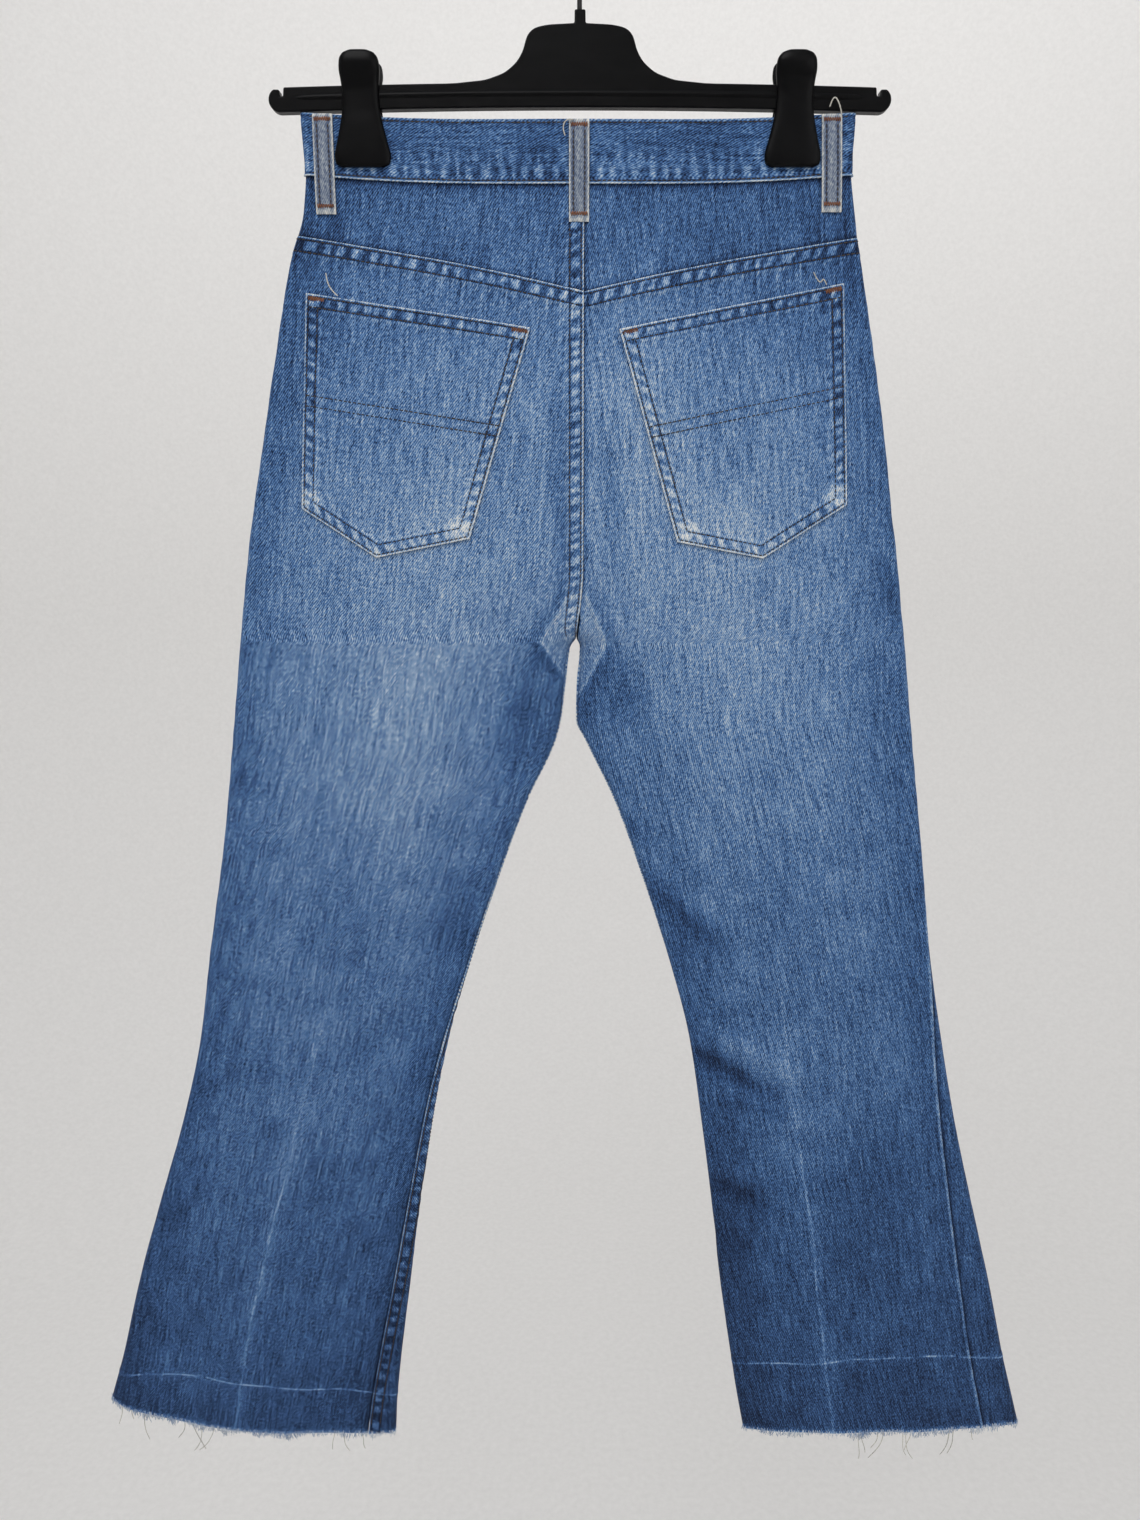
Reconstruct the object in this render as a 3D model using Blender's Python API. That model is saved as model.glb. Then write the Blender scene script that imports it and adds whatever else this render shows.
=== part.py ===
# Flared jeans hung by the waistband from a clip hanger.
#
# The origin is the inner top of the hanger's hook. +Z is up, and the back of the
# jeans faces -Y. Left is -X. Tables and sizes here are in millimetres, and
# new_object() turns them into metres.
#
# The cloth is one smooth tube surface for each half of the jeans. A point on it is
# given by its height z and by its place round the tube: a is 0 on the outer fold,
# 1 at the inner end going over the back and -1 at the inner end going over the
# front. Every cloth piece is a grid of such points, moved out or in along the
# surface's normal, so neighbours always follow each other.

import math
import random

import bmesh
import bpy
import numpy as np

for old in list(bpy.data.objects):
    bpy.data.objects.remove(old, do_unlink=True)

MM = 0.001

# Cloth
DENIM = 1.2
HALF_SEAM = 0.15
SEAM_GAP = 0.3
PATCH_GAP = 0.55
BAND_OUT = 1.0
BAND_IN = -1.5

# Levels
WAIST_TOP_CENTRE = -129.1
WAIST_TOP_SIDE_RISE = 5.6
WAIST_SEAM_CENTRE = -165.8
WAIST_SEAM_SIDE_RISE = 6.8
FRONT_WAIST_DIP = 12.0
WAIST_HALF = 171.0
SEAT_LEVEL = -425.0
CROTCH_TURN_TOP = -431.0
CROTCH = -449.0
SHIN_LEVEL = -940.0

# The outer folds, as the garment hangs
BODY_EDGES = [
    # z, left, right
    (-110, -171.8, 170.2),
    (-123, -171.8, 170.2),
    (-151, -170.8, 169.7),
    (-178, -173.4, 173.1),
    (-206, -181.9, 177.9),
    (-263, -194.8, 189.6),
    (-323, -207.5, 201.1),
    (-385, -220.0, 211.0),
    (-445, -229.5, 221.2),
    (-505, -238.1, 229.9),
    (-591, -251.0, 243.0),
    (-682, -268.3, 257.4),
    (-746, -280.3, 270.2),
    (-812, -298.0, 284.9),
    (-880, -320.2, 302.5),
    (-950, -342.5, 321.5),
    (-1024, -363.1, 340.4),
    (-1061, -375.4, 350.9),
    (-1110, -391.0, 365.0),
]

# The centre seams, where the halves meet above the crotch
CENTRE_LINE = [
    # z, x
    (-110, 3.0),
    (-380, 3.0),
    (-400, 3.0),
    (-449, -1.5),
    (-460, -2.5),
]

# The inner folds of the legs, below the crotch
LEG_INNER_EDGES = [
    # z, left leg, right leg
    (-449, -1.7, -1.3),
    (-454, -5.4, 0.9),
    (-460, -6.8, 0.9),
    (-477, -9.2, -0.3),
    (-505, -12.7, -1.0),
    (-519, -16.2, 5.3),
    (-562, -36.0, 25.8),
    (-621, -58.0, 47.1),
    (-682, -78.5, 66.2),
    (-746, -96.8, 83.0),
    (-812, -110.5, 93.6),
    (-880, -120.8, 103.1),
    (-950, -130.0, 111.4),
    (-1024, -140.3, 122.3),
    (-1061, -144.8, 128.4),
    (-1110, -148.5, 138.0),
]

# How far each face stands out from the flat middle plane
DEPTHS = [
    # z, fold radius, body back, body front, leg back, leg front, dome sharpness
    (-110, 2.4, 6.5, 5.0, 6.0, 5.0, 4.4),
    (-165, 2.6, 8.0, 6.0, 7.0, 6.0, 4.0),
    (-235, 4.0, 13.0, 9.5, 10.0, 8.0, 1.7),
    (-323, 5.2, 16.0, 11.5, 12.0, 9.0, 1.25),
    (-400, 5.5, 16.0, 11.0, 12.5, 9.0, 1.2),
    (-445, 5.5, 15.0, 10.5, 12.5, 9.0, 1.2),
    (-520, 5.5, 13.0, 10.0, 12.0, 9.0, 1.2),
    (-620, 5.2, 11.0, 9.0, 10.5, 8.5, 1.2),
    (-746, 5.0, 8.0, 7.0, 8.0, 7.0, 1.2),
    (-900, 5.0, 8.5, 7.5, 9.0, 8.0, 1.2),
    (-1110, 5.0, 11.0, 10.0, 12.0, 11.0, 1.2),
]

# Width of the rounding at the inner end of each leg
INNER_ROUNDING = [
    # z, width
    (-110, 20.0),
    (-449, 20.0),
    (-480, 17.0),
    (-540, 9.0),
    (-620, 5.5),
    (-1110, 5.0),
]

# The legs are twisted, so the seams creep round the folds towards the hem
SEAM_CREEP = [
    # z, at the outer fold, at the inner fold
    (-110, 0.0, 0.0),
    (-560, 0.0, 0.0),
    (-682, 4.0, 2.0),
    (-778, 12.0, 7.0),
    (-850, 18.0, 10.0),
    (-967, 28.0, 17.0),
    (-1110, 35.0, 26.0),
]

LEFT_HEM = [
    # x, z
    (-390, -1052),
    (-374, -1055),
    (-362, -1062),
    (-329, -1076),
    (-283, -1087),
    (-190, -1089),
    (-147, -1087),
    (-130, -1086),
]
RIGHT_HEM = [
    # x, z
    (115, -1078),
    (133, -1081),
    (148, -1088),
    (250, -1085),
    (356, -1080),
    (372, -1079),
]

# The largest folds on the back, each a soft trough (minus) or ridge (plus) on a line
BACK_FOLDS = [
    # x1, z1, x2, z2, half width, height
    (83.0, -757.0, 158.0, -797.0, 8.0, -3.0),
    (100.0, -738.0, 170.0, -775.0, 9.0, 2.0),
    (98.0, -860.0, 150.0, -885.0, 9.0, -2.0),
    (-14.0, -300.0, -10.0, -425.0, 6.0, -2.0),
    (18.0, -320.0, 30.0, -440.0, 7.0, -2.2),
    (-30.0, -470.0, -60.0, -560.0, 12.0, -2.0),
    (24.0, -470.0, 60.0, -560.0, 12.0, -2.0),
]


def even_slopes(knots, values):
    """Slopes for a curve that never swings past the values it joins."""
    width = np.diff(knots)
    rise = np.diff(values) / width
    slopes = np.concatenate([rise[:1], np.zeros(len(rise) - 1), rise[-1:]])
    for i in range(1, len(rise)):
        if rise[i - 1] * rise[i] > 0:
            before = width[i - 1] + 2 * width[i]
            after = 2 * width[i - 1] + width[i]
            slopes[i] = (before + after) / (before / rise[i - 1] + after / rise[i])
    return slopes


def smooth(z, table, column):
    """Read a column of a table at heights z, on a smooth curve through its rows."""
    knots = -np.array([row[0] for row in table], float)
    values = np.array([row[column] for row in table], float)
    slopes = even_slopes(knots, values)
    place = np.clip(-np.asarray(z, float), knots[0], knots[-1])
    i = np.clip(np.searchsorted(knots, place) - 1, 0, len(knots) - 2)
    width = knots[i + 1] - knots[i]
    t = (place - knots[i]) / width
    low = (1 + 2 * t) * (1 - t) ** 2 * values[i] + t * (1 - t) ** 2 * width * slopes[i]
    high = t * t * (3 - 2 * t) * values[i + 1] - t * t * (1 - t) * width * slopes[i + 1]
    return low + high


def ease(value, start, end):
    """Go smoothly from 0 at start to 1 at end."""
    t = np.clip((np.asarray(value, float) - start) / (end - start), 0.0, 1.0)
    return t * t * (3 - 2 * t)


def back_fold_height(x, z):
    """Add up the soft folds of the back at points x, z."""
    total = np.zeros(np.broadcast(x, z).shape)
    for x1, z1, x2, z2, half_width, height in BACK_FOLDS:
        length = math.hypot(x2 - x1, z2 - z1)
        along_x = (x2 - x1) / length
        along_z = (z2 - z1) / length
        along = ((x - x1) * along_x + (z - z1) * along_z) / length
        across = ((x - x1) * along_z - (z - z1) * along_x) / half_width
        ends = ease(along, -0.1, 0.3) * (1 - ease(along, 0.6, 1.15))
        total = total + height * ends * np.exp(-across * across)
    return total


class Half:
    """The cloth surface of one half of the jeans, held as a fine grid over z and a."""

    Z_TOP = -116.0
    Z_BOTTOM = -1098.0
    Z_STEP = 1.5
    A_REACH = 1.35
    A_COUNT = 541

    def __init__(self, side):
        self.side = side
        self.z = np.arange(self.Z_BOTTOM, self.Z_TOP, self.Z_STEP)
        self.a = np.linspace(-self.A_REACH, self.A_REACH, self.A_COUNT)
        column = 1 if side < 0 else 2
        z = self.z[:, None]
        outer = smooth(z, BODY_EDGES, column)
        inner = np.where(z > CROTCH, smooth(z, CENTRE_LINE, 1), smooth(z, LEG_INNER_EDGES, column))
        turn = np.linspace(0.0, math.pi, 160)[None, :]
        x = outer + (inner - outer) * (1 - np.cos(turn)) / 2
        faces = [self.face(x, z, outer, inner, back) for back in (True, False)]
        self.measure(x, faces[0], faces[1])
        self.find_normals()

    def face(self, x, z, outer, inner, back):
        """The y of the back or front face over x, at heights z."""
        radius = smooth(z, DEPTHS, 1)
        body_rise = smooth(z, DEPTHS, 2 if back else 3)
        leg_rise = smooth(z, DEPTHS, 4 if back else 5)
        sharpness = smooth(z, DEPTHS, 6)
        left = smooth(z, BODY_EDGES, 1)
        right = smooth(z, BODY_EDGES, 2)
        across_body = (x - (left + right) / 2) / ((right - left) / 2 - radius)
        across_leg = (x - (outer + inner) / 2) / (np.abs(outer - inner) / 2 - radius)
        body_dome = np.clip(1 - across_body ** 2, 0, 1) ** sharpness
        leg_dome = np.clip(1 - across_leg ** 2, 0, 1) ** sharpness
        leg_share = ease(z, -385.0, -520.0)
        depth = radius + body_rise * body_dome * (1 - leg_share) + leg_rise * leg_dome * leg_share
        if back:
            depth = depth + back_fold_height(x, z)
        from_outer = np.clip(np.abs(x - outer) / radius, 0, 1)
        from_inner = np.clip(np.abs(x - inner) / smooth(z, INNER_ROUNDING, 1), 0, 1)
        outer_cap = np.sqrt(1 - (1 - from_outer) ** 2)
        inner_cap = np.sqrt(1 - (1 - from_inner) ** 2)
        closed = np.clip((CROTCH_TURN_TOP - z) / (CROTCH_TURN_TOP - CROTCH), 0, 1)
        closed = 1 - np.sqrt(1 - closed ** 2)
        y = depth * outer_cap * (1 - closed + closed * inner_cap)
        return -y if back else y

    def measure(self, x, back, front):
        """Lay the faces out by arc length, so that a runs evenly round the tube."""
        rows = len(self.z)
        self.x = np.zeros((rows, self.A_COUNT))
        self.y = np.zeros((rows, self.A_COUNT))
        self.back_length = np.zeros(rows)
        self.front_length = np.zeros(rows)
        for i in range(rows):
            back_arc = np.append(0, np.cumsum(np.hypot(np.diff(x[i]), np.diff(back[i]))))
            front_arc = np.append(0, np.cumsum(np.hypot(np.diff(x[i]), np.diff(front[i]))))
            back_length = back_arc[-1]
            front_length = front_arc[-1]
            place = np.concatenate([
                -1 - (back_length - back_arc)[1:-1] / front_length,
                -front_arc[::-1] / front_length,
                back_arc[1:] / back_length,
                1 + (front_length - front_arc[::-1])[1:-1] / back_length,
            ])
            xs = np.concatenate([x[i][1:-1], x[i][::-1], x[i][1:], x[i][::-1][1:-1]])
            ys = np.concatenate([back[i][1:-1], front[i][::-1], back[i][1:], front[i][::-1][1:-1]])
            self.x[i] = np.interp(self.a, place, xs)
            self.y[i] = np.interp(self.a, place, ys)
            self.back_length[i] = back_length
            self.front_length[i] = front_length

    def find_normals(self):
        """Outward normals from the slopes of the grid."""
        x_a = np.gradient(self.x, axis=1)
        y_a = np.gradient(self.y, axis=1)
        x_z = np.gradient(self.x, self.Z_STEP, axis=0)
        y_z = np.gradient(self.y, self.Z_STEP, axis=0)
        normal = np.stack([y_a, -x_a, x_a * y_z - y_a * x_z], axis=-1)
        normal /= np.linalg.norm(normal, axis=-1, keepdims=True) + 1e-12
        self.normal = normal * (-self.side)

    def read(self, grid, z, a):
        """Read a grid between its points."""
        row = np.clip((z - self.Z_BOTTOM) / self.Z_STEP, 0, len(self.z) - 1.001)
        col = np.clip((a + self.A_REACH) / (self.a[1] - self.a[0]), 0, self.A_COUNT - 1.001)
        i = row.astype(int)
        j = col.astype(int)
        u = row - i
        v = col - j
        if grid.ndim == 3:
            u = u[..., None]
            v = v[..., None]
        low = grid[i, j] * (1 - v) + grid[i, j + 1] * v
        high = grid[i + 1, j] * (1 - v) + grid[i + 1, j + 1] * v
        return low * (1 - u) + high * u

    def round_place(self, z, millimetres):
        """Turn a distance along the cloth from the outer fold into a."""
        back = np.interp(z, self.z, self.back_length)
        front = np.interp(z, self.z, self.front_length)
        return np.where(millimetres < 0, millimetres / front, millimetres / back)

    def lengths(self, z):
        back = np.interp(z, self.z, self.back_length)
        front = np.interp(z, self.z, self.front_length)
        return back, front

    def points(self, z, a, lift):
        """Points on the surface, moved out by lift."""
        z = np.asarray(z, float)
        a = np.broadcast_to(np.asarray(a, float), z.shape)
        base = np.stack([self.read(self.x, z, a), self.read(self.y, z, a), z], axis=-1)
        lift = np.broadcast_to(np.asarray(lift, float), z.shape)
        return base + lift[..., None] * self.read(self.normal, z, a)

    def place_of_x(self, z, x, back=True):
        """The a of a point on the back or front face, from its x and z."""
        result = np.zeros(z.shape)
        start = int(round(self.A_REACH / (self.a[1] - self.a[0])))
        end = int(round((self.A_REACH + 1) / (self.a[1] - self.a[0]))) + 1
        columns = slice(start, end) if back else slice(2 * start - end + 1, start + 1)
        a = self.a[columns]
        for index in np.ndindex(z.shape):
            row = min(max((z[index] - self.Z_BOTTOM) / self.Z_STEP, 0), len(self.z) - 1.001)
            i = int(row)
            xs = self.x[i, columns] * (1 - row + i) + self.x[i + 1, columns] * (row - i)
            order = np.argsort(xs)
            result[index] = np.interp(x[index], xs[order], a[order])
        return result


LEFT = Half(-1)
RIGHT = Half(1)


# Lines across the garment, as heights over x

def side_rise(x):
    return np.clip(np.abs(x) / WAIST_HALF, 0, 1) ** 2


def waist_top(x, back):
    dip = 0.0 if back else FRONT_WAIST_DIP
    return WAIST_TOP_CENTRE + WAIST_TOP_SIDE_RISE * side_rise(x) - dip * (1 - side_rise(x))


def waist_seam(x, back):
    dip = 0.0 if back else FRONT_WAIST_DIP
    return WAIST_SEAM_CENTRE + WAIST_SEAM_SIDE_RISE * side_rise(x) - dip * (1 - side_rise(x))


YOKE_POINT = -229.0
YOKE_SLOPE = 0.24
YOKE_BEND = 0.00025
SEAT_SEAM_X = 3.0


def yoke_seam(x, back=True):
    reach = np.abs(x - SEAT_SEAM_X)
    return YOKE_POINT + YOKE_SLOPE * reach - YOKE_BEND * reach ** 2


POCKET_MOUTH_START = 88.0
POCKET_MOUTH_DEPTH = 72.0
POCKET_MOUTH_WIDTH = 92.0


def front_panel_top(x, back=False):
    """The waist seam, then the curved pocket mouth down to the side."""
    reach = np.clip((np.abs(x) - POCKET_MOUTH_START) / POCKET_MOUTH_WIDTH, 0, 1)
    scoop = POCKET_MOUTH_DEPTH * (1 - np.sqrt(1 - reach ** 2)) ** 0.75
    return waist_seam(x, False) - scoop


def hem_line(x, side):
    table = LEFT_HEM if side < 0 else RIGHT_HEM
    xs = [row[0] for row in table]
    zs = [row[1] for row in table]
    return np.interp(x, xs, zs)


# Mesh makers

MATERIALS = {
    # name: red, green, blue, roughness, metallic
    "denim": (0.09, 0.17, 0.33, 0.9, 0.0),
    "denim_light": (0.20, 0.30, 0.45, 0.9, 0.0),
    "black_plastic": (0.012, 0.012, 0.014, 0.4, 0.0),
    "steel": (0.30, 0.30, 0.31, 0.35, 1.0),
    "thread": (0.55, 0.60, 0.68, 0.95, 0.0),
}


def material_for(name, kind):
    red, green, blue, roughness, metallic = MATERIALS[kind]
    material = bpy.data.materials.new(name + "_" + kind)
    material.use_nodes = True
    shader = material.node_tree.nodes["Principled BSDF"]
    shader.inputs["Base Color"].default_value = (red, green, blue, 1)
    shader.inputs["Roughness"].default_value = roughness
    shader.inputs["Metallic"].default_value = metallic
    return material


def new_object(name, points, faces, kind):
    """Make a closed mesh object from millimetre points, with its faces turned out."""
    mesh = bpy.data.meshes.new(name)
    mesh.from_pydata([tuple(p) for p in np.asarray(points, float) * MM], [], faces)
    work = bmesh.new()
    work.from_mesh(mesh)
    if work.calc_volume(signed=True) < 0:
        bmesh.ops.reverse_faces(work, faces=work.faces)
    work.to_mesh(mesh)
    work.free()
    mesh.shade_smooth()
    mesh.set_sharp_from_angle(angle=math.radians(40))
    mesh.materials.append(material_for(name, kind))
    made = bpy.data.objects.new(name, mesh)
    bpy.context.scene.collection.objects.link(made)
    return made


def wall(name, outer, inner, kind="denim", ring=False):
    """A closed solid between two grids of points, each rows by columns by 3."""
    rows, columns = outer.shape[:2]
    points = np.concatenate([outer.reshape(-1, 3), inner.reshape(-1, 3)])
    size = rows * columns
    faces = []
    spans = columns if ring else columns - 1
    for i in range(rows - 1):
        for j in range(spans):
            k = (j + 1) % columns
            a = i * columns + j
            b = i * columns + k
            c = (i + 1) * columns + k
            d = (i + 1) * columns + j
            faces.append((a, b, c, d))
            faces.append((size + a, size + d, size + c, size + b))
    for j in range(spans):
        k = (j + 1) % columns
        last = (rows - 1) * columns
        faces.append((j, size + j, size + k, k))
        faces.append((last + j, last + k, size + last + k, size + last + j))
    if not ring:
        for i in range(rows - 1):
            a = i * columns
            b = (i + 1) * columns
            faces.append((a, b, size + b, size + a))
            c = a + columns - 1
            d = b + columns - 1
            faces.append((c, size + c, size + d, d))
    return new_object(name, points, faces, kind)


def settle(half, z_of_x, columns, back, first_z):
    """Heights and places for one row whose height depends on x.

    Each column is a share of the face's length plus millimetres, going inwards from
    the outer fold; columns has a row for each.
    """
    share, extra = np.asarray(columns, float).T
    sign = 1.0 if back else -1.0
    z = np.full(share.shape, float(first_z))
    for _ in range(7):
        back_length, front_length = half.lengths(z)
        inward = share * (back_length if back else front_length) + extra
        a = half.round_place(z, sign * inward)
        z = z_of_x(half.read(half.x, z, a))
    back_length, front_length = half.lengths(z)
    inward = share * (back_length if back else front_length) + extra
    return z, half.round_place(z, sign * inward)


# Where the panels of a leg begin and end round the tube

OUTER_BAND = 9.0
INNER_BAND = 12.0
OUTER_STEPS = (0.0, 0.25, 0.5, 0.68, 0.84, 1.0)
MIDDLE_STEPS = (0.1, 0.24, 0.43, 0.63, 0.82)
INNER_STEPS = (0.0, 0.25, 0.55, 0.8, 1.0)


def panel_columns(half, z, back):
    """Columns for one row of a panel, closer together round the folds."""
    sign = 1.0 if back else -1.0
    # The seam beside a right-hand fold comes round to the back
    side_seam = float(smooth(z, SEAM_CREEP, 1)) * half.side
    inseam = float(smooth(z, SEAM_CREEP, 2)) * half.side
    start = sign * side_seam + HALF_SEAM
    end = sign * inseam - HALF_SEAM
    outer_stop = OUTER_BAND + max(0.0, start)
    inner_stop = -INNER_BAND + min(0.0, end)
    columns = [(0.0, start + (outer_stop - start) * step) for step in OUTER_STEPS]
    columns += [(step, outer_stop * (1 - step) + inner_stop * step) for step in MIDDLE_STEPS]
    columns += [(1.0, inner_stop + (end - inner_stop) * step) for step in INNER_STEPS]
    return columns


UPPER_STEPS = (0.0, 0.1, 0.28, 0.52, 0.76, 1.0)
PANEL_LEVELS = (
    -431, -437, -441.5, -445, -447.5, -449.5, -452, -456, -463, -478, -505, -545,
    -590, -640, -690, -735, -770, -805, -845, -890, -940,
)
LOWER_STEPS = (0.35, 0.7, 0.9, 1.0)
PANEL_TOP_MIDDLE = -210.0
HEM_MIDDLE = -1085.0


def panel(name, half, back):
    """A leg panel, from its top line to the hem. Returns its hem row."""
    top_line = yoke_seam if back else front_panel_top
    rows = []
    for step in UPPER_STEPS:
        def height(x, step=step):
            return (top_line(x) - HALF_SEAM) * (1 - step) + SEAT_LEVEL * step
        middle = PANEL_TOP_MIDDLE * (1 - step) + SEAT_LEVEL * step
        rows.append(settle(half, height, panel_columns(half, middle, back), back, middle))
    for level in PANEL_LEVELS:
        columns = panel_columns(half, level, back)
        rows.append(settle(half, lambda x, z=level: np.full(x.shape, float(z)), columns, back, level))
    for step in LOWER_STEPS:
        def height(x, step=step):
            return SHIN_LEVEL * (1 - step) + hem_line(x, half.side) * step
        middle = SHIN_LEVEL * (1 - step) + HEM_MIDDLE * step
        rows.append(settle(half, height, panel_columns(half, middle, back), back, middle))
    z = np.array([row[0] for row in rows])
    a = np.array([row[1] for row in rows])
    wall(name, half.points(z, a, 0.0), half.points(z, a, -DENIM))
    return z[-1], a[-1]


def patch(name, half, back, z, x, outer_lift, inner_lift, kind="denim"):
    """A piece that lies on a face, from a grid of x and z."""
    a = half.place_of_x(z, x, back)
    return wall(name, half.points(z, a, outer_lift), half.points(z, a, inner_lift), kind)


# Panels and yokes

HEMS = {}
for side_name, side_half in (("left", LEFT), ("right", RIGHT)):
    back_hem = panel("back_panel_" + side_name, side_half, True)
    front_hem = panel("front_panel_" + side_name, side_half, False)
    HEMS[side_half.side] = (back_hem, front_hem)

YOKE_STEPS = (0.0, 0.35, 0.7, 1.0)
YOKE_BAND = 11.0
YOKE_OUTER_STEPS = (HALF_SEAM, 3.0, 6.5, YOKE_BAND)
YOKE_MIDDLE_STEPS = (0.12, 0.28, 0.48, 0.7, 0.88)
YOKE_INNER_STEPS = (-8.0, -HALF_SEAM)


def yoke(name, half):
    columns = [(0.0, extra) for extra in YOKE_OUTER_STEPS]
    columns += [(share, YOKE_BAND * (1 - share)) for share in YOKE_MIDDLE_STEPS]
    columns += [(1.0, extra) for extra in YOKE_INNER_STEPS]
    rows = []
    for step in YOKE_STEPS:
        def height(x, step=step):
            low = yoke_seam(x) + HALF_SEAM
            return (waist_seam(x, True) - HALF_SEAM) * (1 - step) + low * step
        rows.append(settle(half, height, columns, True, PANEL_TOP_MIDDLE))
    z = np.array([row[0] for row in rows])
    a = np.array([row[1] for row in rows])
    return wall(name, half.points(z, a, 0.0), half.points(z, a, -DENIM))


yoke("back_yoke_left", LEFT)
yoke("back_yoke_right", RIGHT)


# Back pockets, each from the line of its mouth to its pointed lower edge

POCKETS = {
    # name: half, mouth left, mouth right, lower left, point, lower right
    "back_pocket_left": (LEFT, (-173.5, -228.2), (-30.8, -250.6), (-182.2, -361.9),
                         (-133.2, -393.5), (-71.1, -381.0)),
    "back_pocket_right": (RIGHT, (25.2, -251.6), (167.9, -222.4), (64.1, -383.1),
                          (121.3, -394.0), (176.1, -359.5)),
}
POCKET_ROWS = 7
POCKET_COLUMNS = 9


def pocket_grid(mouth_left, mouth_right, lower_left, point, lower_right):
    along = np.linspace(0, 1, POCKET_COLUMNS)
    point_share = (point[0] - lower_left[0]) / (lower_right[0] - lower_left[0])
    share = np.sort(np.append(along[:-1], point_share))
    top_x = mouth_left[0] + (mouth_right[0] - mouth_left[0]) * share
    top_z = mouth_left[1] + (mouth_right[1] - mouth_left[1]) * share
    low_x = lower_left[0] + (lower_right[0] - lower_left[0]) * share
    low_z = np.interp(low_x, [lower_left[0], point[0], lower_right[0]],
                      [lower_left[1], point[1], lower_right[1]])
    share[-1] = 1.0
    top_x[-1], top_z[-1] = mouth_right
    low_x[-1], low_z[-1] = lower_right
    down = np.linspace(0, 1, POCKET_ROWS)[:, None]
    return top_z * (1 - down) + low_z * down, top_x * (1 - down) + low_x * down


for pocket_name, (pocket_half, *corners) in POCKETS.items():
    pocket_z, pocket_x = pocket_grid(*corners)
    patch(pocket_name, pocket_half, True, pocket_z, pocket_x, PATCH_GAP + DENIM, PATCH_GAP)


# Front pocket facings, behind the curved mouths

FACING_OUT = -1.75
FACING_IN = -2.85
FACING_TUCK = 4.0
FACING_START = POCKET_MOUTH_START + 16.0
FACING_END = WAIST_HALF - 6.0
FACING_ROWS = (0.0, 0.33, 0.67, 1.0)


def facing(name, half):
    """A wall from the waist seam to below the mouth; its last column lies on the side seam."""
    side = half.side
    z_rows = []
    a_rows = []
    reach = np.append(np.linspace(FACING_START, FACING_END, 8), 0.0)
    for step in FACING_ROWS:
        x = side * reach.copy()
        for _ in range(6):
            top = waist_seam(x, False) - HALF_SEAM
            low = front_panel_top(x) - FACING_TUCK
            z = top * (1 - step) + low * step
            a = half.place_of_x(z, x, False)
            a[-1] = half.round_place(z[-1:], np.array([-HALF_SEAM]))[0]
            x[-1] = half.read(half.x, z[-1:], a[-1:])[0]
        z_rows.append(z)
        a_rows.append(a)
    z = np.array(z_rows)
    a = np.array(a_rows)
    return wall(name, half.points(z, a, FACING_OUT), half.points(z, a, FACING_IN))


facing("front_pocket_facing_left", LEFT)
facing("front_pocket_facing_right", RIGHT)


# Fly flap, on the left front beside the centre

FLY_WIDTH = 38.0
FLY_LENGTH = 150.0
FLY_THICK = 1.0
FLY_CURVE_START = 0.72
FLY_EDGE_X = SEAT_SEAM_X - HALF_SEAM - 0.2


def fly_flap():
    across = np.linspace(0, 1, 6)[None, :]
    down = np.linspace(0, 1, 7)[:, None]
    round_in = np.clip((down - FLY_CURVE_START) / (1 - FLY_CURVE_START), 0, 1)
    taper = np.sqrt(np.clip(1 - round_in ** 2, 0.03, 1))
    x = FLY_EDGE_X - FLY_WIDTH * across * taper
    top = waist_seam(x, False) - SEAM_GAP
    z = top - FLY_LENGTH * down + 0 * x
    patch("fly_flap", LEFT, False, z, x, PATCH_GAP + FLY_THICK, PATCH_GAP)


fly_flap()


# Waistband: one band from the overlapping end at the centre front, round the left
# side, the back and the right side, to the underlap behind that end

OVERLAP_X = 13.0
UNDERLAP_START_X = 22.0
UNDERLAP_X = -22.0
UNDERLAP_DROP = BAND_IN - BAND_OUT - SEAM_GAP - 0.2


BAND_FRONT_STEPS = (28.0, 60.0, 95.0, 125.0, 148.0, 162.0)
BAND_FOLD_STEPS = (-5.0, -2.6, 0.0, 2.6, 5.0)
BAND_BACK_STEPS = (162.0, 148.0, 130.0, 105.0, 75.0, 45.0, 15.0)


def band_columns():
    """(half, what the value is, back, value) for each column, going round from the fly."""
    columns = [(LEFT, "x", False, -x) for x in BAND_FRONT_STEPS]
    columns += [(LEFT, "round the fold", True, step) for step in BAND_FOLD_STEPS]
    columns += [(LEFT, "x", True, -x) for x in BAND_BACK_STEPS]
    columns += [(RIGHT, "x", True, x) for x in reversed(BAND_BACK_STEPS)]
    columns += [(RIGHT, "round the fold", True, -step) for step in BAND_FOLD_STEPS]
    columns += [(RIGHT, "x", False, x) for x in reversed(BAND_FRONT_STEPS[1:])]
    return columns


def band_point(half, how, back, value, z_line, lift):
    if how == "round the fold":
        on_back = value > 0
        columns = [(0.0, abs(value))]
        z, a = settle(half, lambda x: z_line(x, on_back), columns, on_back, -140.0)
    else:
        x = np.array([value])
        z = z_line(x, back)
        a = half.place_of_x(z, x, back)
    point = half.points(z, a, lift)[0]
    point[2] = z[0]
    return point


def front_point(x, z_line, lift):
    """A point of the front face near the centre, on either half."""
    half = LEFT if x < SEAT_SEAM_X else RIGHT
    return band_point(half, "x", False, x, z_line, lift)


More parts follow.
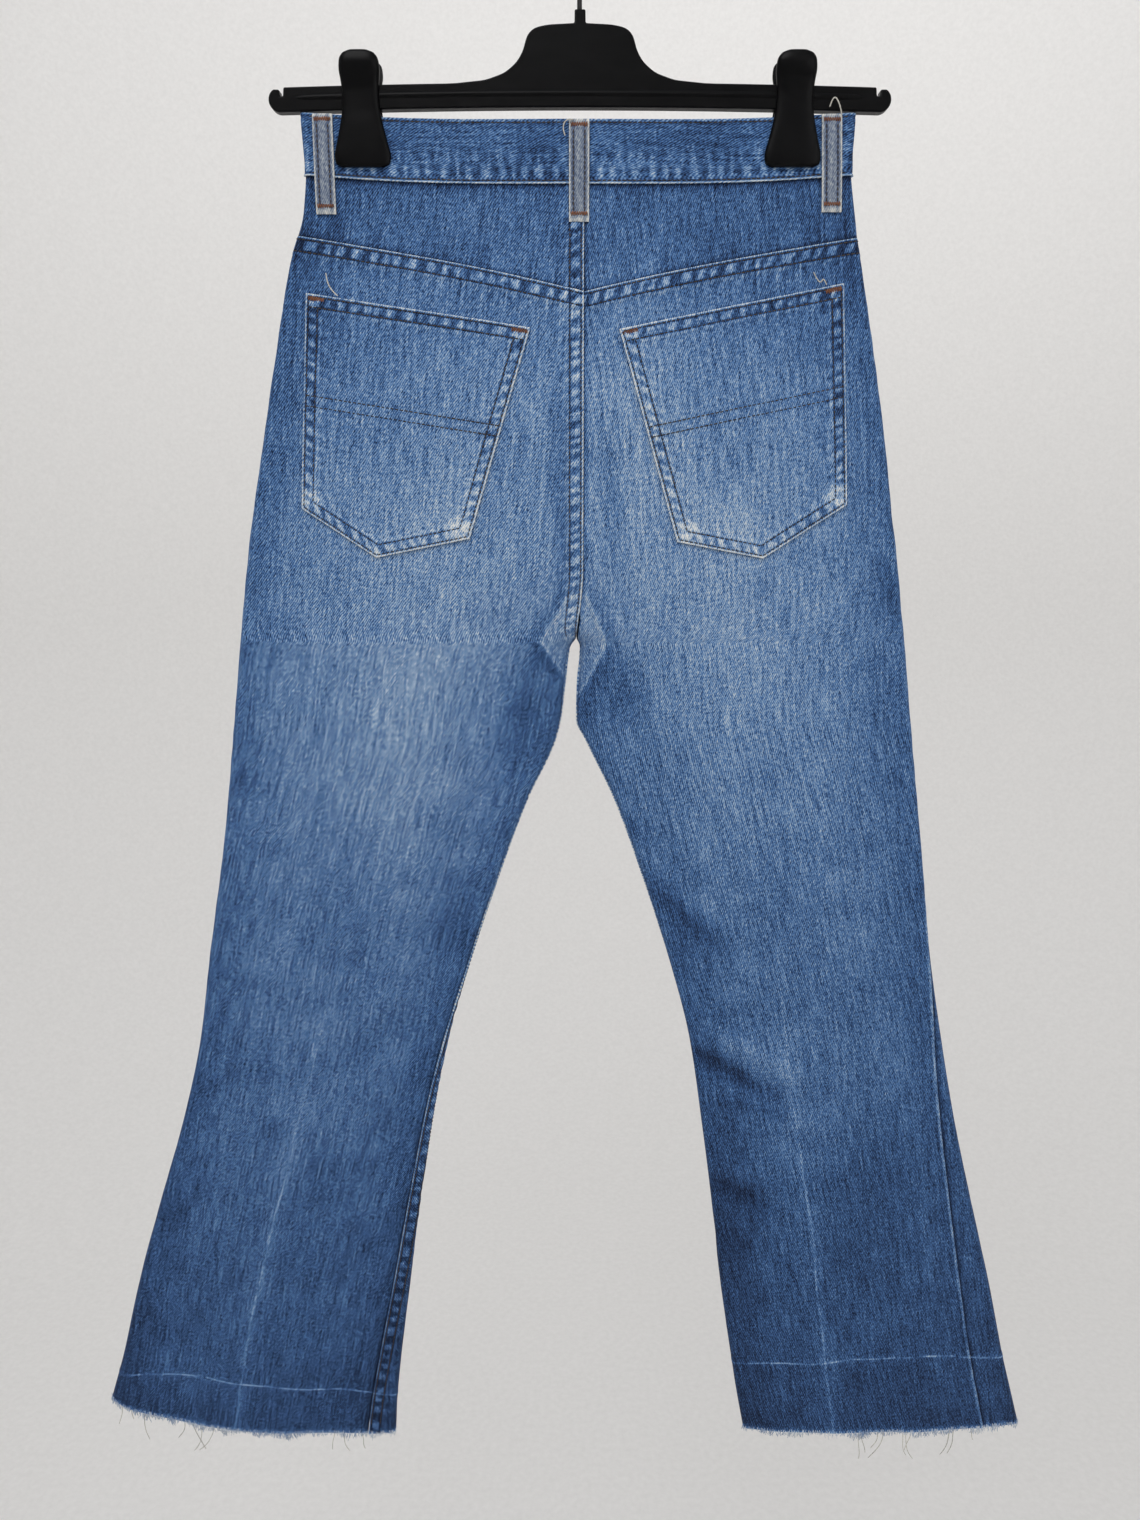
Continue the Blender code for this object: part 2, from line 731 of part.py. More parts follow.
def waistband():
    outer = []
    inner = []
    for step in (0.0, 0.5, 1.0):
        def line(x, back, step=step):
            return waist_top(x, back) * (1 - step) + (waist_seam(x, back) + HALF_SEAM) * step
        outer_row = [front_point(x, line, BAND_OUT) for x in (OVERLAP_X, SEAT_SEAM_X - 1.0)]
        inner_row = [front_point(x, line, BAND_IN) for x in (OVERLAP_X, SEAT_SEAM_X - 1.0)]
        for half, how, back, value in band_columns():
            outer_row.append(band_point(half, how, back, value, line, BAND_OUT))
            inner_row.append(band_point(half, how, back, value, line, BAND_IN))
        for x in (UNDERLAP_START_X, SEAT_SEAM_X + 1.0, UNDERLAP_X):
            outer_row.append(front_point(x, line, BAND_OUT + UNDERLAP_DROP))
            inner_row.append(front_point(x, line, BAND_IN + UNDERLAP_DROP))
        outer.append(outer_row)
        inner.append(inner_row)
    return wall("waistband", np.array(outer), np.array(inner))


waistband()


# Belt loops

LOOP_HALF = 6.2
LOOP_THICK = 1.5
LOOP_ROWS = (
    # share of the length, gap under the loop
    (0.0, 1.4),
    (0.1, 1.8),
    (0.6, 1.8),
    (0.88, 1.2),
    (1.0, 0.5),
)
LOOPS = {
    # name: half, back, x at the top, x at the bottom, top, bottom
    "belt_loop_back_left": (LEFT, True, -158.4, -158.6, -124.6, -181.7),
    "belt_loop_back_right": (RIGHT, True, 155.4, 158.2, -124.8, -180.5),
    "belt_loop_front_left": (LEFT, False, -88.0, -89.0, -133.0, -190.0),
    "belt_loop_front_right": (RIGHT, False, 88.0, 89.0, -133.0, -190.0),
}


def belt_loop(name, half, back, x_top, x_low, z_top, z_low):
    across = np.linspace(-LOOP_HALF, LOOP_HALF, 3)[None, :]
    share = np.array([row[0] for row in LOOP_ROWS])[:, None]
    gap = np.array([row[1] for row in LOOP_ROWS])[:, None] + 0 * across
    x = x_top * (1 - share) + x_low * share + across
    z = z_top * (1 - share) + z_low * share + 0 * across
    patch(name, half, back, z, x, gap + LOOP_THICK, gap, "denim_light")


for loop_name, loop in LOOPS.items():
    belt_loop(loop_name, *loop)

CENTRE_LOOP_X = -0.2
CENTRE_LOOP_TOP = -129.6
CENTRE_LOOP_LOW = -188.0


def centre_loop():
    """The loop over the seat seam, whose columns lie on both halves."""
    outer = []
    inner = []
    for share, gap in LOOP_ROWS:
        z = np.array([CENTRE_LOOP_TOP * (1 - share) + CENTRE_LOOP_LOW * share])
        outer_row = []
        inner_row = []
        for across in (-LOOP_HALF, 0.0, LOOP_HALF):
            x = np.array([CENTRE_LOOP_X + across])
            half = LEFT if x[0] < SEAT_SEAM_X else RIGHT
            a = half.place_of_x(z, x, True)
            outer_row.append(half.points(z, a, gap + LOOP_THICK)[0])
            inner_row.append(half.points(z, a, gap)[0])
        outer.append(outer_row)
        inner.append(inner_row)
    wall("belt_loop_back_centre", np.array(outer), np.array(inner), "denim_light")


centre_loop()


# Raw hems: a narrow strip under each hem, with tapered strands hanging from it

FRAY_STRIP = 2.0
FRAY_CELL = 4.2
FRAY_OUT = -0.1
FRAY_IN = -1.1
SHORT_STRAND = (3.0, 7.0)
LONG_STRANDS = {
    # leg side: {strand number: (length, drift)}
    -1: {3: (16.0, -7.0), 9: (13.0, 6.0), 14: (20.0, -10.0), 22: (12.0, 5.0), 41: (15.0, 6.0)},
    1: {5: (17.0, 8.0), 12: (14.0, -6.0), 19: (21.0, 11.0), 27: (13.0, 6.0), 44: (14.0, -7.0)},
}


def hem_loop(half, lift):
    """The hem's points round the leg, from the inner end of the front."""
    (back_z, back_a), (front_z, front_a) = HEMS[half.side]
    front = half.points(front_z, front_a, lift)[::-1]
    back = half.points(back_z, back_a, lift)
    return np.concatenate([front, back])


def divide_loop(loop, widths):
    """More points along a closed loop, spaced by the widths of the cells."""
    closed = np.concatenate([loop, loop[:1]])
    counts = np.maximum(np.round(widths / FRAY_CELL), 1).astype(int)
    points = []
    for i, count in enumerate(counts):
        for k in range(count):
            points.append(closed[i] + (closed[i + 1] - closed[i]) * k / count)
    return np.array(points)


def hem_fray(name, half):
    draw = random.Random(7 + half.side)
    outer_loop = hem_loop(half, FRAY_OUT)
    widths = np.linalg.norm(np.roll(outer_loop, -1, axis=0) - outer_loop, axis=1)
    outer = divide_loop(outer_loop, widths)
    inner = divide_loop(hem_loop(half, FRAY_IN), widths)
    cells = len(outer)
    top = np.array([0, 0, -SEAM_GAP])
    low = np.array([0, 0, -SEAM_GAP - FRAY_STRIP])
    points = list(np.concatenate([outer + top, outer + low, inner + low, inner + top]))
    strands = range(0, cells - 1, 2)
    faces = []
    for j in range(cells):
        k = (j + 1) % cells
        for ring in range(4):
            if ring == 1 and j in strands:
                continue
            other = (ring + 1) % 4
            faces.append((ring * cells + j, ring * cells + k, other * cells + k, other * cells + j))
    for number, j in enumerate(strands):
        k = j + 1
        corners = [cells + j, cells + k, 2 * cells + k, 2 * cells + j]
        middle = np.mean([points[c] for c in corners], axis=0)
        length = draw.uniform(*SHORT_STRAND)
        drift = draw.uniform(-1.5, 1.5)
        length, drift = LONG_STRANDS[half.side].get(number, (length, drift))
        along = points[cells + k] - points[cells + j]
        along = along / np.linalg.norm(along)
        points.append(middle + along * drift + np.array([0, 0, -length]))
        tip = len(points) - 1
        for c in range(4):
            faces.append((corners[c], corners[(c + 1) % 4], tip))
    new_object(name, points, faces, "thread")


hem_fray("hem_fray_left", LEFT)
hem_fray("hem_fray_right", RIGHT)


# Waist button

BUTTON_RADIUS = 8.5
BUTTON_X = -2.0
BUTTON_LIFT = BAND_OUT + SEAM_GAP + 0.1
BUTTON_PROFILE = (
    # radius, height over the band
    (3.0, 0.0),
    (3.0, 1.2),
    (8.0, 1.2),
    (8.5, 1.8),
    (8.0, 2.8),
    (5.0, 3.3),
    (0.0, 3.4),
)
ROUND_SIDES = 16


def turned(name, centre, profile, kind):
    """A solid turned about an axis along +Y, starting and ending on the axis."""
    points = [centre + np.array([0, profile[0][1], 0])]
    for radius, height in profile[:-1]:
        for side in range(ROUND_SIDES):
            turn = 2 * math.pi * side / ROUND_SIDES
            points.append(centre + np.array([radius * math.cos(turn), height, radius * math.sin(turn)]))
    points.append(centre + np.array([0, profile[-1][1], 0]))
    faces = []
    count = len(profile) - 1
    for side in range(ROUND_SIDES):
        following = (side + 1) % ROUND_SIDES
        faces.append((0, 1 + side, 1 + following))
        for ring in range(count - 1):
            a = 1 + ring * ROUND_SIDES
            b = a + ROUND_SIDES
            faces.append((a + side, b + side, b + following, a + following))
        last = 1 + (count - 1) * ROUND_SIDES
        faces.append((last + side, len(points) - 1, last + following))
    new_object(name, points, faces, kind)


def band_middle(x, back):
    return (waist_top(x, back) + waist_seam(x, back)) / 2


turned("waist_button", front_point(BUTTON_X, band_middle, BUTTON_LIFT), BUTTON_PROFILE, "steel")


# Hanger bar with its crown, one outline with a thickness

BAR_HALF_LENGTH = 191.5
BAR_LOW = -120.7
BAR_HEIGHT = 13.8
BAR_ARCH = 3.0
BAR_HALF_THICK = 4.0
SLOT_X = 182.5
SLOT_WIDTH = 1.8
SLOT_DEPTH = 5.0
CROWN_SHIFT = 0.3
CROWN = (
    # x, z of the right half, from the socket outwards
    (3.3, -67.0),
    (3.4, -74.4),
    (20.0, -75.2),
    (28.5, -77.0),
    (32.5, -81.0),
    (34.5, -89.0),
    (38.5, -95.5),
    (46.0, -101.5),
    (58.0, -105.5),
    (76.0, -107.2),
)


def bar_low(x):
    return BAR_LOW - BAR_ARCH * (x / BAR_HALF_LENGTH) ** 2


def hanger_outline():
    """The right half of the outline, from the top centre to the low centre."""
    half = [(x, z) for x, z in CROWN]
    for x in (110.0, 150.0, SLOT_X - 0.5):
        half.append((x, bar_low(x) + BAR_HEIGHT))
    slot_top = bar_low(SLOT_X) + BAR_HEIGHT
    half.append((SLOT_X, slot_top - SLOT_DEPTH))
    half.append((SLOT_X + SLOT_WIDTH, slot_top - SLOT_DEPTH))
    half.append((SLOT_X + SLOT_WIDTH + 0.3, slot_top - 1.2))
    knob_x = BAR_HALF_LENGTH - BAR_HEIGHT / 2
    knob_z = bar_low(knob_x) + BAR_HEIGHT / 2
    for degrees in (58, 30, 0, -30, -60, -90):
        turn = math.radians(degrees)
        radius = BAR_HEIGHT / 2
        half.append((knob_x + radius * math.cos(turn), knob_z + radius * math.sin(turn)))
    for x in (150.0, 110.0, 60.0, 0.0):
        half.append((x, bar_low(x)))
    return half


def hanger_bar():
    half = hanger_outline()
    outline = half + [(-x, z) for x, z in reversed(half[:-1])]
    count = len(outline)
    front = [(x + CROWN_SHIFT, -BAR_HALF_THICK, z) for x, z in outline]
    rear = [(x + CROWN_SHIFT, BAR_HALF_THICK, z) for x, z in outline]
    faces = [tuple(range(count)), tuple(range(2 * count - 1, count - 1, -1))]
    for i in range(count):
        j = (i + 1) % count
        faces.append((j, i, count + i, count + j))
    new_object("hanger_bar", front + rear, faces, "black_plastic")


hanger_bar()


# Hook: a steel wire from the socket, round over the rail, ending in a blunt tip

WIRE_RADIUS = 1.5
HOOK_RADIUS = 19.0
HOOK_SIDES = 8
STEM_LOW = -66.7
STEM_TOP = -46.0
BEND_START = -38
BEND_END = 206
BEND_STEP = 14


def hook_path():
    points = [(0.0, float(z)) for z in np.linspace(STEM_LOW, STEM_TOP, 4)]
    centre_z = WIRE_RADIUS - HOOK_RADIUS
    join = math.radians(BEND_START)
    end_x = HOOK_RADIUS * math.cos(join)
    end_z = centre_z + HOOK_RADIUS * math.sin(join)
    for t in (0.25, 0.5, 0.75):
        lean = t * t * (3 - 2 * t)
        points.append((end_x * lean, STEM_TOP + (end_z - STEM_TOP) * t))
    for degrees in range(BEND_START, BEND_END, BEND_STEP):
        turn = math.radians(degrees)
        points.append((HOOK_RADIUS * math.cos(turn), centre_z + HOOK_RADIUS * math.sin(turn)))
    return points


def hanger_hook():
    path = np.array(hook_path())
    slope = np.gradient(path, axis=0)
    slope /= np.linalg.norm(slope, axis=1, keepdims=True)
    points = []
    for (x, z), (dx, dz) in zip(path, slope):
        for side in range(HOOK_SIDES):
            turn = 2 * math.pi * side / HOOK_SIDES
            out = WIRE_RADIUS * math.cos(turn)
            points.append((x + dz * out, WIRE_RADIUS * math.sin(turn), z - dx * out))
    faces = []
    for i in range(len(path) - 1):
        for side in range(HOOK_SIDES):
            following = (side + 1) % HOOK_SIDES
            a = i * HOOK_SIDES
            b = a + HOOK_SIDES
            faces.append((a + side, a + following, b + following, b + side))
    last = (len(path) - 1) * HOOK_SIDES
    faces.append(tuple(reversed(range(HOOK_SIDES))))
    faces.append(tuple(last + side for side in range(HOOK_SIDES)))
    new_object("hanger_hook", points, faces, "steel")


hanger_hook()


# Clips: two jaws each, pressed on the band below the bar and spread above it

JAW_ROWS = (
    # z, half width, inner face, outer face
    (-91.0, 6.0, 8.8, 10.6),
    (-92.4, 9.6, 8.2, 11.0),
    (-96.0, 12.0, 7.2, 11.2),
    (-101.0, 12.5, 6.0, 10.6),
    (-106.0, 11.9, 4.8, 9.4),
    (-113.0, 11.2, 4.6, 8.4),
    (-120.0, 11.4, 4.6, 8.2),
    (-128.0, 12.6, 4.6, 8.0),
    (-139.0, 15.2, 4.6, 7.8),
    (-149.0, 17.4, 4.6, 7.6),
    (-153.0, 16.6, 4.6, 7.4),
    (-155.0, 13.0, 4.6, 7.0),
)
CLIPS = {
    # name: x
    "clip_left": -134.2,
    "clip_right": 132.2,
}


def jaw(name, centre, sign):
    columns = (-1.0, -0.6, 0.6, 1.0)
    outer = []
    inner = []
    for z, half_width, near, far in JAW_ROWS:
        rounding = (0.7, 0.0, 0.0, 0.7)
        outer.append([(centre + half_width * c, sign * (far - r), z) for c, r in zip(columns, rounding)])
        inner.append([(centre + half_width * c, sign * near, z) for c in columns])
    wall(name, np.array(outer), np.array(inner), "black_plastic")


for clip_name, clip_x in CLIPS.items():
    jaw(clip_name + "_outer_jaw", clip_x, -1.0)
    jaw(clip_name + "_inner_jaw", clip_x, 1.0)
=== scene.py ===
# Flared jeans on a clip hanger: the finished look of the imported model.
#
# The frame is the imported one: the origin is the inner top of the hanger's hook, +Z is
# up and the back of the jeans faces -Y. Tables and sizes are in millimetres, and the
# mesh makers turn them into metres.

import math
import random

import bmesh
import bpy
import numpy as np
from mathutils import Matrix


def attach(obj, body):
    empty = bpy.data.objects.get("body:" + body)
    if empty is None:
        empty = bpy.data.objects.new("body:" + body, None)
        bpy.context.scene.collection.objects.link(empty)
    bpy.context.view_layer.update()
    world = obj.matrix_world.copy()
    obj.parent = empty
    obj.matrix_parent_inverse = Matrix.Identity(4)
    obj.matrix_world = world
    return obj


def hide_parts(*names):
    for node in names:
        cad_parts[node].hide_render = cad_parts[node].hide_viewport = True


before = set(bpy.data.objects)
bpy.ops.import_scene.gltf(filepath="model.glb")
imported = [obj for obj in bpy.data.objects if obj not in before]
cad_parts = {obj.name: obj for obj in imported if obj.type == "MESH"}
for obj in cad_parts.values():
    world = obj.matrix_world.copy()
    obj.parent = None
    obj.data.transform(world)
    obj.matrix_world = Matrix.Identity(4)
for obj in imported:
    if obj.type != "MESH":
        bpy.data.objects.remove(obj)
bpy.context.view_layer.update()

MM = 0.001
TINY = 1e-9

# Cloth
DENIM = 1.2
HALF_SEAM = 0.15
SEAM_GAP = 0.3
PATCH_GAP = 0.55
BAND_OUT = 1.0
BAND_IN = -1.5

# Levels
WAIST_TOP_CENTRE = -129.1
WAIST_TOP_SIDE_RISE = 5.6
WAIST_SEAM_CENTRE = -165.8
WAIST_SEAM_SIDE_RISE = 6.8
FRONT_WAIST_DIP = 12.0
WAIST_HALF = 171.0
SEAT_LEVEL = -425.0
CROTCH_TURN_TOP = -431.0
CROTCH = -449.0
SHIN_LEVEL = -940.0

# The outer folds, as the garment hangs
BODY_EDGES = [
    # z, left, right
    (-110, -171.8, 170.2),
    (-123, -171.8, 170.2),
    (-151, -170.8, 169.7),
    (-178, -173.4, 173.1),
    (-206, -181.9, 177.9),
    (-263, -194.8, 189.6),
    (-323, -207.5, 201.1),
    (-385, -220.0, 211.0),
    (-445, -229.5, 221.2),
    (-505, -238.1, 229.9),
    (-591, -251.0, 243.0),
    (-682, -268.3, 257.4),
    (-746, -280.3, 270.2),
    (-812, -298.0, 284.9),
    (-880, -320.2, 302.5),
    (-950, -342.5, 321.5),
    (-1024, -363.1, 340.4),
    (-1061, -375.4, 350.9),
    (-1110, -391.0, 365.0),
]

# The centre seams, where the halves meet above the crotch
CENTRE_LINE = [
    # z, x
    (-110, 3.0),
    (-380, 3.0),
    (-400, 3.0),
    (-449, -1.5),
    (-460, -2.5),
]

# The inner folds of the legs, below the crotch
LEG_INNER_EDGES = [
    # z, left leg, right leg
    (-449, -1.7, -1.3),
    (-454, -5.4, 0.9),
    (-460, -6.8, 0.9),
    (-477, -9.2, -0.3),
    (-505, -12.7, -1.0),
    (-519, -16.2, 5.3),
    (-562, -36.0, 25.8),
    (-621, -58.0, 47.1),
    (-682, -78.5, 66.2),
    (-746, -96.8, 83.0),
    (-812, -110.5, 93.6),
    (-880, -120.8, 103.1),
    (-950, -130.0, 111.4),
    (-1024, -140.3, 122.3),
    (-1061, -144.8, 128.4),
    (-1110, -148.5, 138.0),
]

# How far each face stands out from the flat middle plane
DEPTHS = [
    # z, fold radius, body back, body front, leg back, leg front, dome sharpness
    (-110, 2.4, 6.5, 5.0, 6.0, 5.0, 4.4),
    (-165, 2.6, 8.0, 6.0, 7.0, 6.0, 4.0),
    (-235, 4.0, 13.0, 9.5, 10.0, 8.0, 1.7),
    (-323, 5.2, 16.0, 11.5, 12.0, 9.0, 1.25),
    (-400, 5.5, 16.0, 11.0, 12.5, 9.0, 1.2),
    (-445, 5.5, 15.0, 10.5, 12.5, 9.0, 1.2),
    (-520, 5.5, 13.0, 10.0, 12.0, 9.0, 1.2),
    (-620, 5.2, 11.0, 9.0, 10.5, 8.5, 1.2),
    (-746, 5.0, 8.0, 7.0, 8.0, 7.0, 1.2),
    (-900, 5.0, 8.5, 7.5, 9.0, 8.0, 1.2),
    (-1110, 5.0, 11.0, 10.0, 12.0, 11.0, 1.2),
]

# Width of the rounding at the inner end of each leg
INNER_ROUNDING = [
    # z, width
    (-110, 20.0),
    (-449, 20.0),
    (-480, 17.0),
    (-540, 9.0),
    (-620, 5.5),
    (-1110, 5.0),
]

# The legs are twisted, so the seams creep round the folds towards the hem
SEAM_CREEP = [
    # z, at the outer fold, at the inner fold
    (-110, 0.0, 0.0),
    (-560, 0.0, 0.0),
    (-682, 4.0, 2.0),
    (-778, 12.0, 7.0),
    (-850, 18.0, 10.0),
    (-967, 28.0, 17.0),
    (-1110, 35.0, 26.0),
]

LEFT_HEM = [
    # x, z
    (-390, -1060),
    (-374, -1062),
    (-362, -1068),
    (-329, -1073),
    (-283, -1079),
    (-240, -1083),
    (-190, -1088),
    (-147, -1094),
    (-130, -1094),
]
RIGHT_HEM = [
    # x, z
    (115, -1088),
    (133, -1090),
    (148, -1089),
    (250, -1081),
    (356, -1085),
    (372, -1086),
]

# The largest folds on the back, each a soft trough (minus) or ridge (plus) on a line
BACK_FOLDS = [
    # x1, z1, x2, z2, half width, height
    (83.0, -757.0, 158.0, -797.0, 8.0, -3.0),
    (100.0, -738.0, 170.0, -775.0, 9.0, 2.0),
    (98.0, -860.0, 150.0, -885.0, 9.0, -2.0),
    (-14.0, -300.0, -10.0, -425.0, 6.0, -2.0),
    (18.0, -320.0, 30.0, -440.0, 7.0, -2.2),
    (-30.0, -470.0, -60.0, -560.0, 12.0, -2.0),
    (24.0, -470.0, 60.0, -560.0, 12.0, -2.0),
]

# Smaller creases, in the same terms
FINE_BACK_FOLDS = [
    # x1, z1, x2, z2, half width, height
    (198.0, -385.0, 217.0, -438.0, 4.0, -0.9),
    (206.0, -372.0, 226.0, -432.0, 5.0, 0.7),
    (-24.0, -449.0, -62.0, -492.0, 6.0, -1.1),
    (19.0, -449.0, 52.0, -486.0, 6.0, -1.1),
    (-120.0, -700.0, -205.0, -742.0, 11.0, 0.8),
    (-108.0, -722.0, -190.0, -768.0, 10.0, -0.8),
    (62.0, -585.0, 96.0, -668.0, 9.0, -1.0),
    (-74.0, -600.0, -102.0, -690.0, 9.0, -0.9),
    (150.0, -800.0, 214.0, -822.0, 10.0, 0.8),
    (96.0, -905.0, 172.0, -935.0, 10.0, -0.7),
    (-196.0, -300.0, -206.0, -420.0, 7.0, -0.7),
    (-40.0, -262.0, -28.0, -330.0, 6.0, 0.7),
    (36.0, -262.0, 30.0, -322.0, 6.0, 0.6),
]
FINE_FRONT_FOLDS = [
    # x1, z1, x2, z2, half width, height
    (-18.0, -392.0, -118.0, -352.0, 8.0, -1.5),
    (-16.0, -412.0, -126.0, -392.0, 8.0, 1.3),
    (-14.0, -432.0, -112.0, -436.0, 9.0, -1.4),
    (20.0, -388.0, 116.0, -346.0, 8.0, -1.5),
    (18.0, -408.0, 128.0, -384.0, 8.0, 1.3),
    (16.0, -428.0, 108.0, -430.0, 9.0, -1.3),
    (-96.0, -724.0, -176.0, -762.0, 9.0, -1.8),
    (-104.0, -746.0, -196.0, -790.0, 10.0, 1.4),
    (86.0, -742.0, 160.0, -778.0, 9.0, -2.0),
    (98.0, -768.0, 178.0, -800.0, 10.0, 1.5),
    (-112.0, -868.0, -188.0, -902.0, 10.0, -1.0),
    (104.0, -880.0, 170.0, -912.0, 10.0, -1.0),
    (-40.0, -480.0, -74.0, -572.0, 11.0, -1.4),
    (30.0, -480.0, 66.0, -566.0, 11.0, -1.4),
]


def even_slopes(knots, values):
    """Slopes for a curve that never swings past the values it joins."""
    width = np.diff(knots)
    rise = np.diff(values) / width
    slopes = np.concatenate([rise[:1], np.zeros(len(rise) - 1), rise[-1:]])
    for i in range(1, len(rise)):
        if rise[i - 1] * rise[i] > 0:
            before = width[i - 1] + 2 * width[i]
            after = 2 * width[i - 1] + width[i]
            slopes[i] = (before + after) / (before / rise[i - 1] + after / rise[i])
    return slopes


def smooth(z, table, column):
    """Read a column of a table at heights z, on a smooth curve through its rows."""
    knots = -np.array([row[0] for row in table], float)
    values = np.array([row[column] for row in table], float)
    slopes = even_slopes(knots, values)
    place = np.clip(-np.asarray(z, float), knots[0], knots[-1])
    i = np.clip(np.searchsorted(knots, place) - 1, 0, len(knots) - 2)
    width = knots[i + 1] - knots[i]
    t = (place - knots[i]) / width
    low = (1 + 2 * t) * (1 - t) ** 2 * values[i] + t * (1 - t) ** 2 * width * slopes[i]
    high = t * t * (3 - 2 * t) * values[i + 1] - t * t * (1 - t) * width * slopes[i + 1]
    return low + high


def ease(value, start, end):
    """Go smoothly from 0 at start to 1 at end."""
    t = np.clip((np.asarray(value, float) - start) / (end - start), 0.0, 1.0)
    return t * t * (3 - 2 * t)


def bump(value, half_width):
    """1 at zero, falling away on both sides."""
    return np.exp(-(np.asarray(value, float) / half_width) ** 2)


def line_heights(x, z, lines):
    """Add up soft troughs and ridges on lines."""
    total = np.zeros(np.broadcast(x, z).shape)
    for x1, z1, x2, z2, half_width, height in lines:
        length = math.hypot(x2 - x1, z2 - z1)
        along_x = (x2 - x1) / length
        along_z = (z2 - z1) / length
        along = ((x - x1) * along_x + (z - z1) * along_z) / length
        across = ((x - x1) * along_z - (z - z1) * along_x) / half_width
        ends = ease(along, -0.1, 0.3) * (1 - ease(along, 0.6, 1.15))
        total = total + height * ends * np.exp(-across * across)
    return total


def lengths_along(points):
    """The distance along a path at each of its points."""
    return np.append(0, np.cumsum(np.linalg.norm(np.diff(points, axis=0), axis=1)))


def between(values, reach, distance):
    """Read rows of three values at a distance along their path."""
    return np.array([np.interp(distance, reach, values[:, k]) for k in range(3)])


def line_distance(x, z, first, second):
    """Distance of points from the line through two corners, minus on its left-hand side."""
    dx = second[0] - first[0]
    dz = second[1] - first[1]
    return ((x - first[0]) * dz - (z - first[1]) * dx) / math.hypot(dx, dz)


